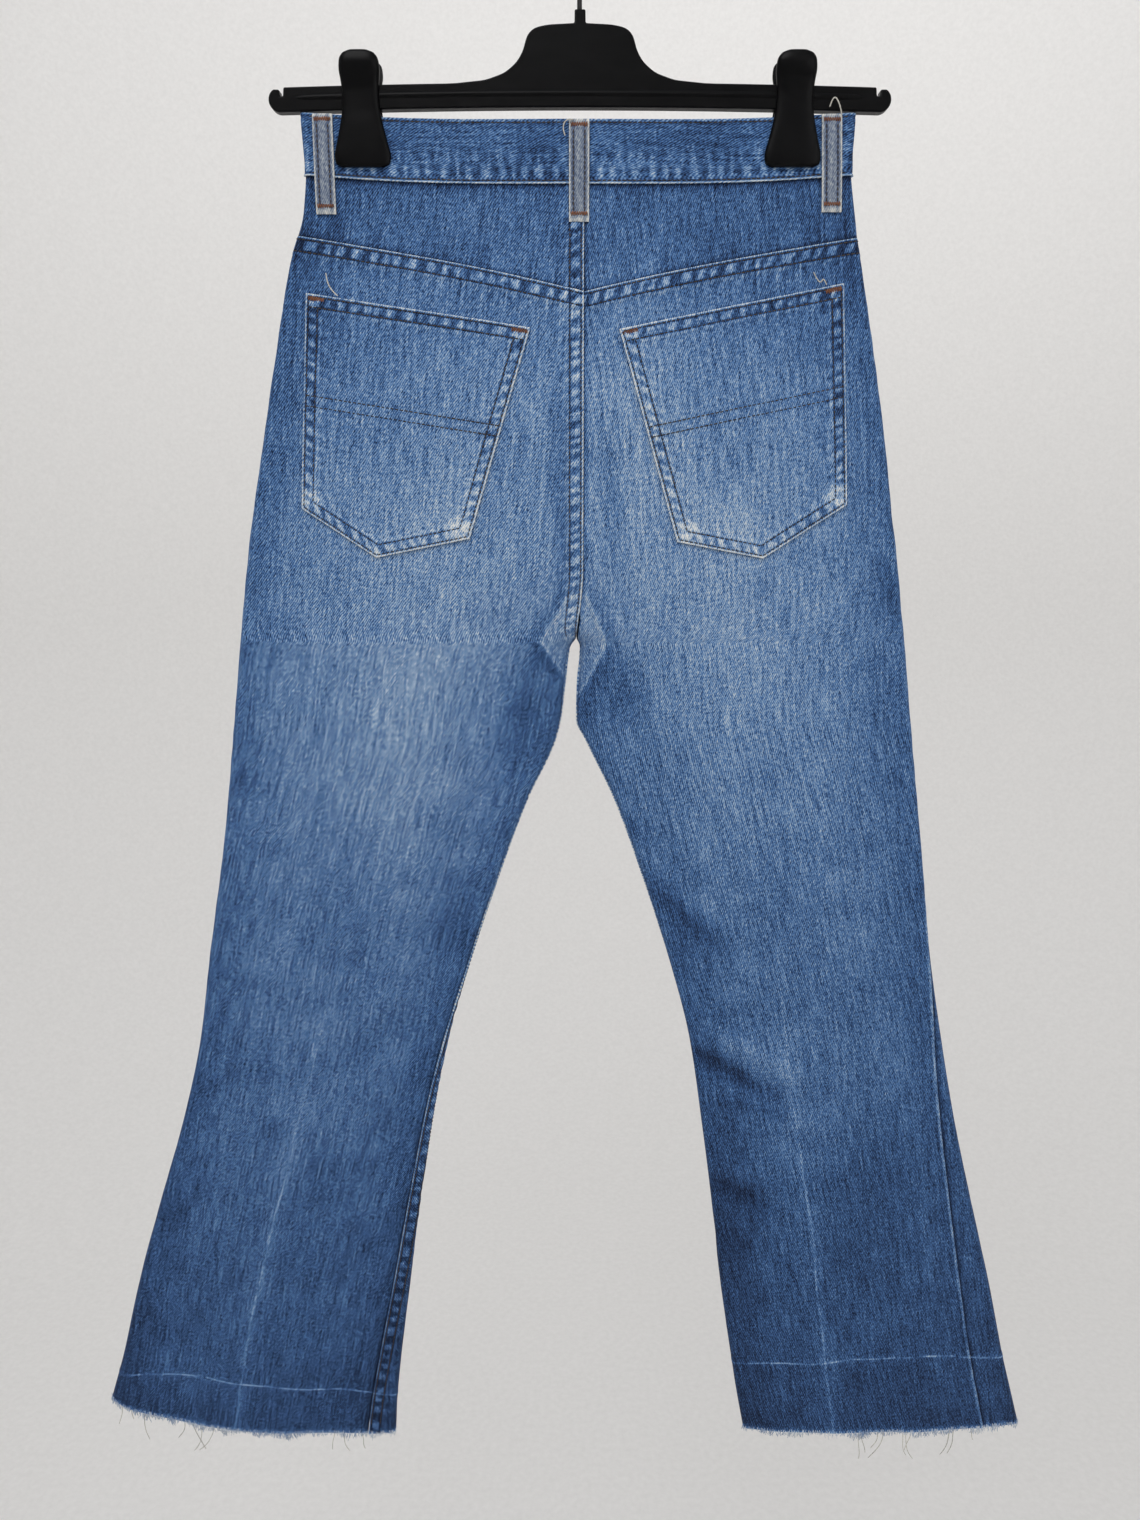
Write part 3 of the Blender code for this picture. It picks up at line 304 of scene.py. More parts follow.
class Half:
    """The cloth surface of one half of the jeans, held as a fine grid over z and a.

    a is 0 on the outer fold, 1 at the inner end going over the back and -1 at the
    inner end going over the front.
    """

    Z_TOP = -116.0
    Z_BOTTOM = -1098.0
    Z_STEP = 1.5
    A_REACH = 1.35
    A_COUNT = 541

    def __init__(self, side):
        self.side = side
        self.z = np.arange(self.Z_BOTTOM, self.Z_TOP, self.Z_STEP)
        self.a = np.linspace(-self.A_REACH, self.A_REACH, self.A_COUNT)
        column = 1 if side < 0 else 2
        z = self.z[:, None]
        outer = smooth(z, BODY_EDGES, column)
        inner = np.where(z > CROTCH, smooth(z, CENTRE_LINE, 1), smooth(z, LEG_INNER_EDGES, column))
        turn = np.linspace(0.0, math.pi, 160)[None, :]
        x = outer + (inner - outer) * (1 - np.cos(turn)) / 2
        faces = [self.face(x, z, outer, inner, back) for back in (True, False)]
        self.measure(x, faces[0], faces[1])
        self.find_normals()

    def face(self, x, z, outer, inner, back):
        """The y of the back or front face over x, at heights z."""
        radius = smooth(z, DEPTHS, 1)
        body_rise = smooth(z, DEPTHS, 2 if back else 3)
        leg_rise = smooth(z, DEPTHS, 4 if back else 5)
        sharpness = smooth(z, DEPTHS, 6)
        left = smooth(z, BODY_EDGES, 1)
        right = smooth(z, BODY_EDGES, 2)
        across_body = (x - (left + right) / 2) / ((right - left) / 2 - radius)
        across_leg = (x - (outer + inner) / 2) / (np.abs(outer - inner) / 2 - radius)
        body_dome = np.clip(1 - across_body ** 2, 0, 1) ** sharpness
        leg_dome = np.clip(1 - across_leg ** 2, 0, 1) ** sharpness
        leg_share = ease(z, -385.0, -520.0)
        depth = radius + body_rise * body_dome * (1 - leg_share) + leg_rise * leg_dome * leg_share
        if back:
            depth = depth + line_heights(x, z, BACK_FOLDS)
        from_outer = np.clip(np.abs(x - outer) / radius, 0, 1)
        from_inner = np.clip(np.abs(x - inner) / smooth(z, INNER_ROUNDING, 1), 0, 1)
        outer_cap = np.sqrt(1 - (1 - from_outer) ** 2)
        inner_cap = np.sqrt(1 - (1 - from_inner) ** 2)
        closed = np.clip((CROTCH_TURN_TOP - z) / (CROTCH_TURN_TOP - CROTCH), 0, 1)
        closed = 1 - np.sqrt(1 - closed ** 2)
        y = depth * outer_cap * (1 - closed + closed * inner_cap)
        return -y if back else y

    def measure(self, x, back, front):
        """Lay the faces out by arc length, so that a runs evenly round the tube."""
        rows = len(self.z)
        self.x = np.zeros((rows, self.A_COUNT))
        self.y = np.zeros((rows, self.A_COUNT))
        self.back_length = np.zeros(rows)
        self.front_length = np.zeros(rows)
        for i in range(rows):
            back_arc = np.append(0, np.cumsum(np.hypot(np.diff(x[i]), np.diff(back[i]))))
            front_arc = np.append(0, np.cumsum(np.hypot(np.diff(x[i]), np.diff(front[i]))))
            back_length = back_arc[-1]
            front_length = front_arc[-1]
            place = np.concatenate([
                -1 - (back_length - back_arc)[1:-1] / front_length,
                -front_arc[::-1] / front_length,
                back_arc[1:] / back_length,
                1 + (front_length - front_arc[::-1])[1:-1] / back_length,
            ])
            xs = np.concatenate([x[i][1:-1], x[i][::-1], x[i][1:], x[i][::-1][1:-1]])
            ys = np.concatenate([back[i][1:-1], front[i][::-1], back[i][1:], front[i][::-1][1:-1]])
            self.x[i] = np.interp(self.a, place, xs)
            self.y[i] = np.interp(self.a, place, ys)
            self.back_length[i] = back_length
            self.front_length[i] = front_length

    def find_normals(self):
        """Outward normals from the slopes of the grid."""
        x_a = np.gradient(self.x, axis=1)
        y_a = np.gradient(self.y, axis=1)
        x_z = np.gradient(self.x, self.Z_STEP, axis=0)
        y_z = np.gradient(self.y, self.Z_STEP, axis=0)
        normal = np.stack([y_a, -x_a, x_a * y_z - y_a * x_z], axis=-1)
        normal /= np.linalg.norm(normal, axis=-1, keepdims=True) + 1e-12
        body = self.z > CROTCH_TURN_TOP
        for end in (-1.0, 1.0):
            column = int(np.argmin(np.abs(self.a - end)))
            source = column - 2 if end > 0 else column + 2
            for beside_end in (column - 1, column, column + 1):
                normal[body, beside_end] = normal[body, source]
        self.normal = normal * (-self.side)

    def read(self, grid, z, a):
        """Read a grid between its points."""
        row = np.clip((z - self.Z_BOTTOM) / self.Z_STEP, 0, len(self.z) - 1.001)
        col = np.clip((a + self.A_REACH) / (self.a[1] - self.a[0]), 0, self.A_COUNT - 1.001)
        i = row.astype(int)
        j = col.astype(int)
        u = row - i
        v = col - j
        if grid.ndim == 3:
            u = u[..., None]
            v = v[..., None]
        low = grid[i, j] * (1 - v) + grid[i, j + 1] * v
        high = grid[i + 1, j] * (1 - v) + grid[i + 1, j + 1] * v
        return low * (1 - u) + high * u

    def round_place(self, z, millimetres):
        """Turn a distance along the cloth from the outer fold into a."""
        back, front = self.lengths(z)
        return np.where(millimetres < 0, millimetres / front, millimetres / back)

    def lengths(self, z):
        back = np.interp(z, self.z, self.back_length)
        front = np.interp(z, self.z, self.front_length)
        return back, front

    def arc(self, z, a):
        """The distance along the cloth from the outer fold, plus over the back."""
        back, front = self.lengths(z)
        return np.where(a < 0, a * front, a * back)

    def points(self, z, a, lift):
        """Points on the surface, moved out by lift."""
        z = np.asarray(z, float)
        a = np.broadcast_to(np.asarray(a, float), z.shape)
        base = np.stack([self.read(self.x, z, a), self.read(self.y, z, a), z], axis=-1)
        lift = np.broadcast_to(np.asarray(lift, float), z.shape)
        return base + lift[..., None] * self.read(self.normal, z, a)

    def place_of_x(self, z, x, back=True):
        """The a of a point on the back or front face, from its x and z."""
        result = np.zeros(z.shape)
        start = int(round(self.A_REACH / (self.a[1] - self.a[0])))
        end = int(round((self.A_REACH + 1) / (self.a[1] - self.a[0]))) + 1
        columns = slice(start, end) if back else slice(2 * start - end + 1, start + 1)
        a = self.a[columns]
        rising = (self.side < 0) == back
        for index in np.ndindex(z.shape):
            row = min(max((z[index] - self.Z_BOTTOM) / self.Z_STEP, 0), len(self.z) - 1.001)
            i = int(row)
            xs = self.x[i, columns] * (1 - row + i) + self.x[i + 1, columns] * (row - i)
            if rising:
                result[index] = np.interp(x[index], xs, a)
            else:
                result[index] = np.interp(x[index], xs[::-1], a[::-1])
        return result


LEFT = Half(-1)
RIGHT = Half(1)


# Lines across the garment, as heights over x

def side_rise(x):
    return np.clip(np.abs(x) / WAIST_HALF, 0, 1) ** 2


def waist_top(x, back):
    dip = 0.0 if back else FRONT_WAIST_DIP
    return WAIST_TOP_CENTRE + WAIST_TOP_SIDE_RISE * side_rise(x) - dip * (1 - side_rise(x))


def waist_seam(x, back):
    dip = 0.0 if back else FRONT_WAIST_DIP
    return WAIST_SEAM_CENTRE + WAIST_SEAM_SIDE_RISE * side_rise(x) - dip * (1 - side_rise(x))


YOKE_POINT = -229.0
YOKE_SLOPE = 0.24
YOKE_BEND = 0.00025
# A height below the sloping seam, as a distance square to it
YOKE_SQUARE = 0.97
SEAT_SEAM_X = 3.0


def yoke_seam(x):
    reach = np.abs(x - SEAT_SEAM_X)
    return YOKE_POINT + YOKE_SLOPE * reach - YOKE_BEND * reach ** 2


POCKET_MOUTH_START = 88.0
POCKET_MOUTH_DEPTH = 72.0
POCKET_MOUTH_WIDTH = 92.0
FRONT_ROWS = (1.8, 8.0)


def front_panel_top(x):
    """The waist seam, then the curved pocket mouth down to the side."""
    reach = np.clip((np.abs(x) - POCKET_MOUTH_START) / POCKET_MOUTH_WIDTH, 0, 1)
    scoop = POCKET_MOUTH_DEPTH * (1 - np.sqrt(1 - reach ** 2)) ** 0.75
    return waist_seam(x, False) - scoop


def hem_line(x, side):
    table = LEFT_HEM if side < 0 else RIGHT_HEM
    xs = [row[0] for row in table]
    zs = [row[1] for row in table]
    return np.interp(x, xs, zs)


# Materials

class Graph:
    """A small helper for building a material's nodes."""

    def __init__(self, name):
        self.material = bpy.data.materials.new(name)
        self.material.use_nodes = True
        self.tree = self.material.node_tree
        self.shader = self.tree.nodes["Principled BSDF"]
        self.texture = self.tree.nodes.new("ShaderNodeTexCoord")

    def node(self, kind, **settings):
        made = self.tree.nodes.new(kind)
        for key, value in settings.items():
            setattr(made, key, value)
        return made

    def join(self, source, target):
        self.tree.links.new(source, target)

    def put(self, socket, value):
        if isinstance(value, bpy.types.NodeSocket):
            self.join(value, socket)
        else:
            socket.default_value = value

    def math(self, operation, first, second=None, clamp=False):
        made = self.node("ShaderNodeMath", operation=operation, use_clamp=clamp)
        self.put(made.inputs[0], first)
        if second is not None:
            self.put(made.inputs[1], second)
        return made.outputs[0]

    def times(self, first, second):
        return self.math("MULTIPLY", first, second)

    def total(self, *parts):
        result = parts[0]
        for part in parts[1:]:
            result = self.math("ADD", result, part)
        return result

    def stretch(self, vector, scale):
        made = self.node("ShaderNodeVectorMath", operation="MULTIPLY")
        self.put(made.inputs[0], vector)
        made.inputs[1].default_value = scale
        return made.outputs[0]

    def noise(self, vector, detail=2.0, roughness=0.5, scale=1.0):
        """A noise value about zero."""
        made = self.node("ShaderNodeTexNoise")
        self.put(made.inputs["Vector"], vector)
        made.inputs["Scale"].default_value = scale
        made.inputs["Detail"].default_value = detail
        made.inputs["Roughness"].default_value = roughness
        return self.math("SUBTRACT", made.outputs[0], 0.5)

    def ramp(self, value, stops):
        made = self.node("ShaderNodeValToRGB")
        self.put(made.inputs[0], value)
        elements = made.color_ramp.elements
        while len(elements) < len(stops):
            elements.new(0.5)
        for element, (position, colour) in zip(elements, stops):
            element.position = position
            element.color = (*colour, 1)
        return made.outputs[0]

    def raise_by(self, height, distance, strength=1.0):
        made = self.node("ShaderNodeBump")
        made.inputs["Strength"].default_value = strength
        made.inputs["Distance"].default_value = distance
        self.put(made.inputs["Height"], height)
        self.join(made.outputs[0], self.shader.inputs["Normal"])

    def finish(self, **constants):
        for key, value in constants.items():
            self.shader.inputs[key.replace("_", " ")].default_value = value
        return self.material


def linear(red, green, blue):
    """Turn 0 to 255 display values into linear colour."""
    def one(value):
        value /= 255
        return value / 12.92 if value <= 0.04045 else ((value + 0.055) / 1.055) ** 2.4
    return (one(red), one(green), one(blue))


# Dyed cotton from dark unworn blue to almost white, by tone
DENIM_STOPS = [
    # tone, red, green, blue
    (0.00, 5, 13, 34),
    (0.14, 19, 32, 58),
    (0.24, 39, 58, 89),
    (0.33, 53, 82, 127),
    (0.42, 69, 107, 158),
    (0.51, 97, 133, 178),
    (0.61, 134, 162, 195),
    (0.73, 170, 188, 206),
    (0.86, 205, 212, 216),
    (1.00, 230, 230, 226),
]

# Worn loops, greyer than the panels
LOOP_STOPS = [
    # tone, red, green, blue
    (0.00, 12, 18, 34),
    (0.25, 48, 60, 88),
    (0.45, 92, 104, 128),
    (0.60, 132, 142, 156),
    (0.78, 184, 188, 190),
    (1.00, 228, 225, 216),
]

# The twill, in metres
TWILL_PITCH = 0.00126
TWILL_DEGREES = 62.0
TWILL_WOBBLE = 1.2

# Noises of the cloth, in cells a metre across and down
WOBBLE_CELLS = (160, 90, 1)
DASH_CELLS = (740, 300, 1)
GRAIN_CELLS = (860, 640, 1)
SLUB_CELLS = (700, 46, 1)
BAND_CELLS = (240, 11, 1)
BLOTCH_CELLS = (30, 30, 30)
RUB_CELLS = (90, 90, 1)
YARN_ROUGHNESS = 0.6

# How much each one moves the tone
TWILL_SHARE = 0.12
DASH_SHARE = 0.50
GRAIN_SHARE = 0.56
SLUB_SHARE = 0.44
BAND_SHARE = 0.16
BLOTCH_SHARE = 0.14
CREASE_SHARE = 0.17
OLD_HEM_SHARE = 0.30

# Half widths of the worn lines, in millimetres
CREASE_LINE = 1.0
OLD_HEM_LINE = 0.75


def denim_material(name, stops, grain_share=1.0):
    """Washed twill: a ramp of dye over the tone kept on the mesh, stirred by its yarns."""
    g = Graph(name)
    uv = g.node("ShaderNodeUVMap", uv_map="grain").outputs[0]
    split = g.node("ShaderNodeSeparateXYZ")
    g.join(uv, split.inputs[0])
    turn = math.radians(TWILL_DEGREES)
    across = g.total(g.times(split.outputs[0], -math.sin(turn)), g.times(split.outputs[1], math.cos(turn)))
    along = g.total(g.times(split.outputs[0], math.cos(turn)), g.times(split.outputs[1], math.sin(turn)))
    turned = g.node("ShaderNodeCombineXYZ")
    g.join(across, turned.inputs[0])
    g.join(along, turned.inputs[1])
    ribs = turned.outputs[0]
    wobble = g.times(g.noise(g.stretch(uv, WOBBLE_CELLS), 1.0), TWILL_WOBBLE)
    phase = g.total(g.times(across, 1 / TWILL_PITCH), wobble)
    twill = g.math("SINE", g.times(phase, 2 * math.pi))
    dash = g.noise(g.stretch(ribs, DASH_CELLS), 1.0, YARN_ROUGHNESS)
    grain = g.noise(g.stretch(uv, GRAIN_CELLS), 1.0, YARN_ROUGHNESS)
    slub = g.noise(g.stretch(uv, SLUB_CELLS), 1.0, YARN_ROUGHNESS)
    band = g.noise(g.stretch(uv, BAND_CELLS), 1.0)
    blotch = g.noise(g.stretch(g.texture.outputs["Object"], BLOTCH_CELLS), 3.0, 0.62)
    tone = g.node("ShaderNodeAttribute", attribute_name="tone").outputs["Fac"]
    contrast = g.total(g.times(tone, 1.25), 0.38)
    fine = g.total(
        g.times(twill, TWILL_SHARE * grain_share),
        g.times(dash, DASH_SHARE * grain_share),
        g.times(grain, GRAIN_SHARE * grain_share),
        g.times(slub, SLUB_SHARE * grain_share),
        g.times(band, BAND_SHARE),
    )
    rub = g.math("ADD", g.times(g.noise(g.stretch(uv, RUB_CELLS), 1.0), 2.6), 0.66, clamp=True)
    crease = g.times(line_of(g, "off_crease", CREASE_LINE), g.times(rub, CREASE_SHARE))
    hem = g.times(line_of(g, "off_hem", OLD_HEM_LINE), g.times(rub, OLD_HEM_SHARE))
    shown = g.total(tone, g.times(fine, contrast), g.times(blotch, BLOTCH_SHARE), crease, hem)
    g.join(g.ramp(shown, [(stop[0], linear(*stop[1:])) for stop in stops]),
           g.shader.inputs["Base Color"])
    g.raise_by(g.total(g.times(twill, 0.5), g.times(dash, 2.4)), 0.0002, 0.45)
    return g.finish(Roughness=0.9, Specular_IOR_Level=0.12, Sheen_Weight=0.04, Sheen_Roughness=0.5)


def line_of(g, attribute, width):
    """1 on the line where a distance kept on the mesh is zero, falling away beside it."""
    off = g.node("ShaderNodeAttribute", attribute_name=attribute).outputs["Fac"]
    scaled = g.times(off, 1 / width)
    return g.math("POWER", math.e, g.times(g.times(scaled, scaled), -1.0))


def thread_material(name, dark, light):
    """Twisted sewing thread, mottled between two colours."""
    g = Graph(name)
    place = g.texture.outputs["Object"]
    mottle = g.noise(g.stretch(place, (900, 900, 900)), 2.0)
    drift = g.noise(g.stretch(place, (40, 40, 40)), 2.0)
    g.join(g.ramp(g.total(mottle, drift, 0.5), [(0.15, linear(*dark)), (0.85, linear(*light))]),
           g.shader.inputs["Base Color"])
    g.raise_by(mottle, 0.0001, 0.5)
    return g.finish(Roughness=0.8, Specular_IOR_Level=0.25)


def plastic_material():
    g = Graph("moulded_black_plastic")
    place = g.texture.outputs["Object"]
    grain = g.noise(g.stretch(place, (2200, 2200, 2200)), 2.0)
    scuff = g.noise(g.stretch(place, (60, 60, 190)), 5.0, 0.65)
    g.join(g.ramp(g.total(scuff, 0.5), [(0.35, (0.001, 0.001, 0.0014)), (0.9, (0.003, 0.003, 0.0035))]),
           g.shader.inputs["Base Color"])
    g.join(g.total(g.times(scuff, 0.25), 0.34), g.shader.inputs["Roughness"])
    g.raise_by(g.total(grain, scuff), 0.00005, 0.5)
    return g.finish(Specular_IOR_Level=0.1)


def metal_material(name, dark, light, roughness, metallic):
    g = Graph(name)
    place = g.texture.outputs["Object"]
    tarnish = g.noise(g.stretch(place, (300, 300, 300)), 5.0, 0.6)
    g.join(g.ramp(g.total(tarnish, 0.5), [(0.3, dark), (0.75, light)]), g.shader.inputs["Base Color"])
    g.join(g.total(g.times(tarnish, 0.3), roughness), g.shader.inputs["Roughness"])
    g.raise_by(tarnish, 0.00004, 0.5)
    return g.finish(Metallic=metallic)


def stage_material():
    g = Graph("pale_plaster")
    place = g.texture.outputs["Object"]
    grain = g.noise(g.stretch(place, (90, 90, 90)), 4.0, 0.55)
    g.join(g.ramp(g.total(grain, 0.5), [(0.3, (0.80, 0.79, 0.775)), (0.7, (0.85, 0.84, 0.825))]),
           g.shader.inputs["Base Color"])
    g.raise_by(grain, 0.002, 0.35)
    return g.finish(Roughness=0.9, Specular_IOR_Level=0.2)


DENIM_MATERIAL = denim_material("washed_denim", DENIM_STOPS)
LOOP_MATERIAL = denim_material("worn_loop_denim", LOOP_STOPS, 0.5)
STITCH_MATERIAL = thread_material("faded_brown_thread", (40, 37, 36), (88, 78, 68))
TACK_MATERIAL = thread_material("rust_thread", (86, 56, 42), (150, 100, 72))
FRAY_MATERIAL = thread_material("frayed_cotton", (118, 148, 190), (236, 240, 243))
LOOSE_MATERIAL = thread_material("loose_cotton", (150, 148, 142), (232, 228, 217))
PLASTIC_MATERIAL = plastic_material()
WIRE_MATERIAL = metal_material("coated_wire", (0.012, 0.012, 0.013), (0.03, 0.03, 0.03), 0.35, 0.6)
BUTTON_MATERIAL = metal_material("aged_metal", (0.20, 0.15, 0.11), (0.46, 0.40, 0.33), 0.34, 1.0)


# Mesh makers

def link(name, mesh, material, replaces=()):
    made = bpy.data.objects.new(name, mesh)
    bpy.context.scene.collection.objects.link(made)
    mesh.materials.append(material)
    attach(made, "root")
    if replaces:
        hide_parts(*replaces)
    return made


def thinned(count, step):
    return sorted(set(range(0, count, step)) | {count - 1})


FAR = 99.0
INSIDE_TONE = 0.5


def wall_mesh(name, outer, inner, kept):
    """A closed wall between a grid of points and an inner grid of its kept rows."""
    rows, columns = outer.shape[:2]
    size = rows * columns
    points = np.concatenate([outer.reshape(-1, 3), inner.reshape(-1, 3)])
    row_of = np.searchsorted(kept, np.arange(rows), side="right") - 1

    def sheet_faces(count, start, flip):
        i, j = np.meshgrid(np.arange(count - 1), np.arange(columns - 1), indexing="ij")
        a = start + i * columns + j
        quads = np.stack([a, a + 1, a + columns + 1, a + columns], axis=-1).reshape(-1, 4)
        return quads[:, ::-1] if flip else quads

    faces = [tuple(q) for q in sheet_faces(rows, 0, False)]
    faces += [tuple(q) for q in sheet_faces(len(kept), size, True)]
    last = (rows - 1) * columns
    inner_last = size + (len(kept) - 1) * columns
    for j in range(columns - 1):
        faces.append((j, size + j, size + j + 1, j + 1))
        faces.append((last + j, last + j + 1, inner_last + j + 1, inner_last + j))
    for i in range(rows - 1):
        for j, flip in ((0, False), (columns - 1, True)):
            a = i * columns + j
            b = a + columns
            c = size + row_of[i + 1] * columns + j
            d = size + row_of[i] * columns + j
            face = (a, b, c) if c == d else (a, b, c, d)
            faces.append(face[::-1] if flip else face)
    mesh = bpy.data.meshes.new(name)
    mesh.from_pydata((points * MM).tolist(), [], [[int(v) for v in f] for f in faces])
    work = bmesh.new()
    work.from_mesh(mesh)
    if work.calc_volume(signed=True) < 0:
        bmesh.ops.reverse_faces(work, faces=work.faces)
    work.to_mesh(mesh)
    work.free()
    return mesh


def keep_values(mesh, name, values):
    layer = mesh.attributes.new(name, "FLOAT", "POINT")
    layer.data.foreach_set("value", values.astype(np.float32))


def cloth(name, outer, inner, tone, grain, thin=3, slot="denim", lines=None):
    """A closed thin wall of cloth: a dense outside, with fewer rows inside.

    outer and inner are rows by columns by 3, tone is rows by columns, grain is the
    place of each outer point on the flat cut, and lines holds the distances from the
    pressed crease and from the old hem.
    """
    rows, columns = outer.shape[:2]
    kept = thinned(rows, thin)
    mesh = wall_mesh(name, outer, inner[kept], kept)
    inside = np.full(len(kept) * columns, INSIDE_TONE)
    keep_values(mesh, "tone", np.clip(np.concatenate([tone.reshape(-1), inside]), 0, 1))
    for line, attribute in enumerate(("off_crease", "off_hem")):
        offs = np.full(len(mesh.vertices), FAR)
        if lines is not None:
            offs[:rows * columns] = lines[line].reshape(-1)
        keep_values(mesh, attribute, offs)
    places = np.concatenate([grain.reshape(-1, 2), grain[kept].reshape(-1, 2)]) * MM
    corners = np.zeros(len(mesh.loops), int)
    mesh.loops.foreach_get("vertex_index", corners)
    uv = mesh.uv_layers.new(name="grain")
    uv.data.foreach_set("uv", places[corners].astype(np.float32).reshape(-1))
    mesh.shade_smooth()
    mesh.set_sharp_from_angle(angle=math.radians(55))
    material = LOOP_MATERIAL if slot == "denim_light" else DENIM_MATERIAL
    return link(name + "_cloth", mesh, material, (name,))


def settle(half, z_of_x, columns, back, first_z):
    """Heights and places for one row whose height depends on x; columns are
    (share of the face's length, millimetres) going inwards from the outer fold."""
    share, extra = np.asarray(columns, float).T
    sign = 1.0 if back else -1.0
    z = np.full(share.shape, float(first_z))
    for _ in range(7):
        back_length, front_length = half.lengths(z)
        inward = share * (back_length if back else front_length) + extra
        a = half.round_place(z, sign * inward)
        z = z_of_x(half.read(half.x, z, a))
    back_length, front_length = half.lengths(z)
    inward = share * (back_length if back else front_length) + extra
    return z, half.round_place(z, sign * inward)


# Tone: how far the dye has gone, with painted shade darker towards the hem and at the folds, before any seam
# or crease

# Down the legs the tone darkens towards the hem: partly the wash, partly painted shade of the light falling
# off lower down.
FADE_AND_SHADE_DOWN = [
    # z, back, front
    (-110, 0.37, 0.38),
    (-200, 0.38, 0.40),
    (-232, 0.42, 0.42),
    (-290, 0.47, 0.45),
    (-450, 0.49, 0.48),
    (-560, 0.47, 0.49),
    (-680, 0.43, 0.46),
    (-790, 0.40, 0.42),
    (-900, 0.365, 0.375),
    (-1000, 0.335, 0.34),
    (-1100, 0.31, 0.31),
]
# Patches lighter or darker than the fade down the legs; the darker ones beside the folds are partly painted
# shade.
BACK_PATCHES = [
    # x, z, half width, half height, amount
    (32.0, -330.0, 34.0, 95.0, 0.09),
    (-30.0, -350.0, 30.0, 80.0, 0.03),
    (-108.0, -450.0, 62.0, 70.0, 0.05),
    (-92.0, -385.0, 36.0, 34.0, 0.05),
    (92.0, -385.0, 36.0, 34.0, 0.05),
    (105.0, -440.0, 60.0, 70.0, 0.05),
    (-118.0, -560.0, 46.0, 90.0, 0.05),
    (118.0, -560.0, 46.0, 90.0, 0.005),
    # Painted shade between the legs, below the crotch.
    (0.0, -486.0, 34.0, 34.0, -0.11),
    (-212.0, -300.0, 26.0, 110.0, -0.03),
    (206.0, -300.0, 26.0, 110.0, -0.03),
    (-70.0, -205.0, 60.0, 30.0, 0.03),
    (-4.0, -239.0, 6.0, 7.0, 0.15),
    (-45.0, -520.0, 26.0, 60.0, -0.055),
    (-92.0, -645.0, 22.0, 70.0, -0.055),
    (-162.0, -645.0, 40.0, 70.0, -0.03),
    (140.0, -645.0, 44.0, 70.0, -0.03),
    (75.0, -645.0, 20.0, 60.0, -0.04),
    (232.0, -645.0, 22.0, 90.0, -0.03),
    (205.0, -500.0, 26.0, 80.0, -0.045),
    (-240.0, -500.0, 20.0, 80.0, -0.03),
    (-205.0, -900.0, 60.0, 80.0, -0.02),
    (-255.0, -1070.0, 130.0, 60.0, -0.035),
    (225.0, -890.0, 60.0, 80.0, -0.07),
    (120.0, -890.0, 34.0, 90.0, -0.05),
    (250.0, -1060.0, 130.0, 80.0, -0.05),
]
FRONT_PATCHES = [
    # x, z, half width, half height, amount
    (-110.0, -430.0, 58.0, 120.0, 0.09),
    (110.0, -430.0, 58.0, 120.0, 0.09),
    (-185.0, -720.0, 56.0, 70.0, 0.06),
    (172.0, -720.0, 56.0, 70.0, 0.06),
    # Painted shade between the legs, below the crotch.
    (0.0, -486.0, 34.0, 34.0, -0.10),
]
# Darker towards the outer and inner folds: partly less-worn dye, partly painted shade where the cloth turns
# away from the light.
EDGE_DARK = 0.075
EDGE_REACH = 30.0
CREASE_LIGHT = 0.04


def fade_and_shade(half, z, a, x, back):
    """The tone of the plain cloth at points of a half: the dye's fade with painted shade, darker towards the
    hem and at the folds.
    """
    tone = smooth(z, FADE_AND_SHADE_DOWN, 1 if back else 2)
    for px, pz, half_width, half_height, amount in BACK_PATCHES if back else FRONT_PATCHES:
        tone = tone + amount * bump(x - px, half_width) * bump(z - pz, half_height)
    arc = half.arc(z, a)
    back_length, front_length = half.lengths(z)
    length = np.where(a < 0, front_length, back_length)
    from_outer = np.abs(arc)
    from_inner = np.abs(length - np.abs(arc))
    legs = ease(z, -440.0, -540.0)
    # Painted shade, with less-worn dye, towards the folds.
    tone = tone - EDGE_DARK * bump(from_outer, EDGE_REACH)
    tone = tone - EDGE_DARK * bump(from_inner, EDGE_REACH) * legs
    return tone


CREASES = [
    # z, x on the left leg, x on the right leg
    (-560, -142.0, 126.0),
    (-700, -176.0, 146.0),
    (-788, -202.6, 160.0),
    (-826, -213.2, 166.4),
    (-892, -231.4, 176.5),
    (-963, -248.9, 187.0),
    (-1025, -263.7, 197.2),
    (-1065, -270.8, 202.5),
    (-1100, -277.0, 207.0),
]


# Painted shade in the troughs of the back's folds, and painted light on the ridges beside them
BACK_FOLD_LIGHT_AND_SHADE = [
    # x1, z1, x2, z2, half width, amount
    (44.0, -620.0, 112.0, -680.0, 7.0, -0.10),
    (40.0, -598.0, 112.0, -655.0, 9.0, 0.04),
    (80.0, -748.0, 146.0, -792.0, 6.0, -0.11),
    (100.0, -736.0, 168.0, -776.0, 8.0, 0.04),
    (96.0, -794.0, 165.0, -806.0, 6.0, -0.05),
    (98.0, -862.0, 152.0, -888.0, 7.0, -0.05),
    (-13.0, -250.0, -11.0, -420.0, 6.0, -0.055),
    (17.0, -300.0, 28.0, -440.0, 8.0, -0.05),
    (-28.0, -455.0, -50.0, -520.0, 8.0, -0.05),
    (22.0, -455.0, 48.0, -515.0, 8.0, -0.05),
    (198.0, -385.0, 217.0, -438.0, 5.0, -0.05),
]


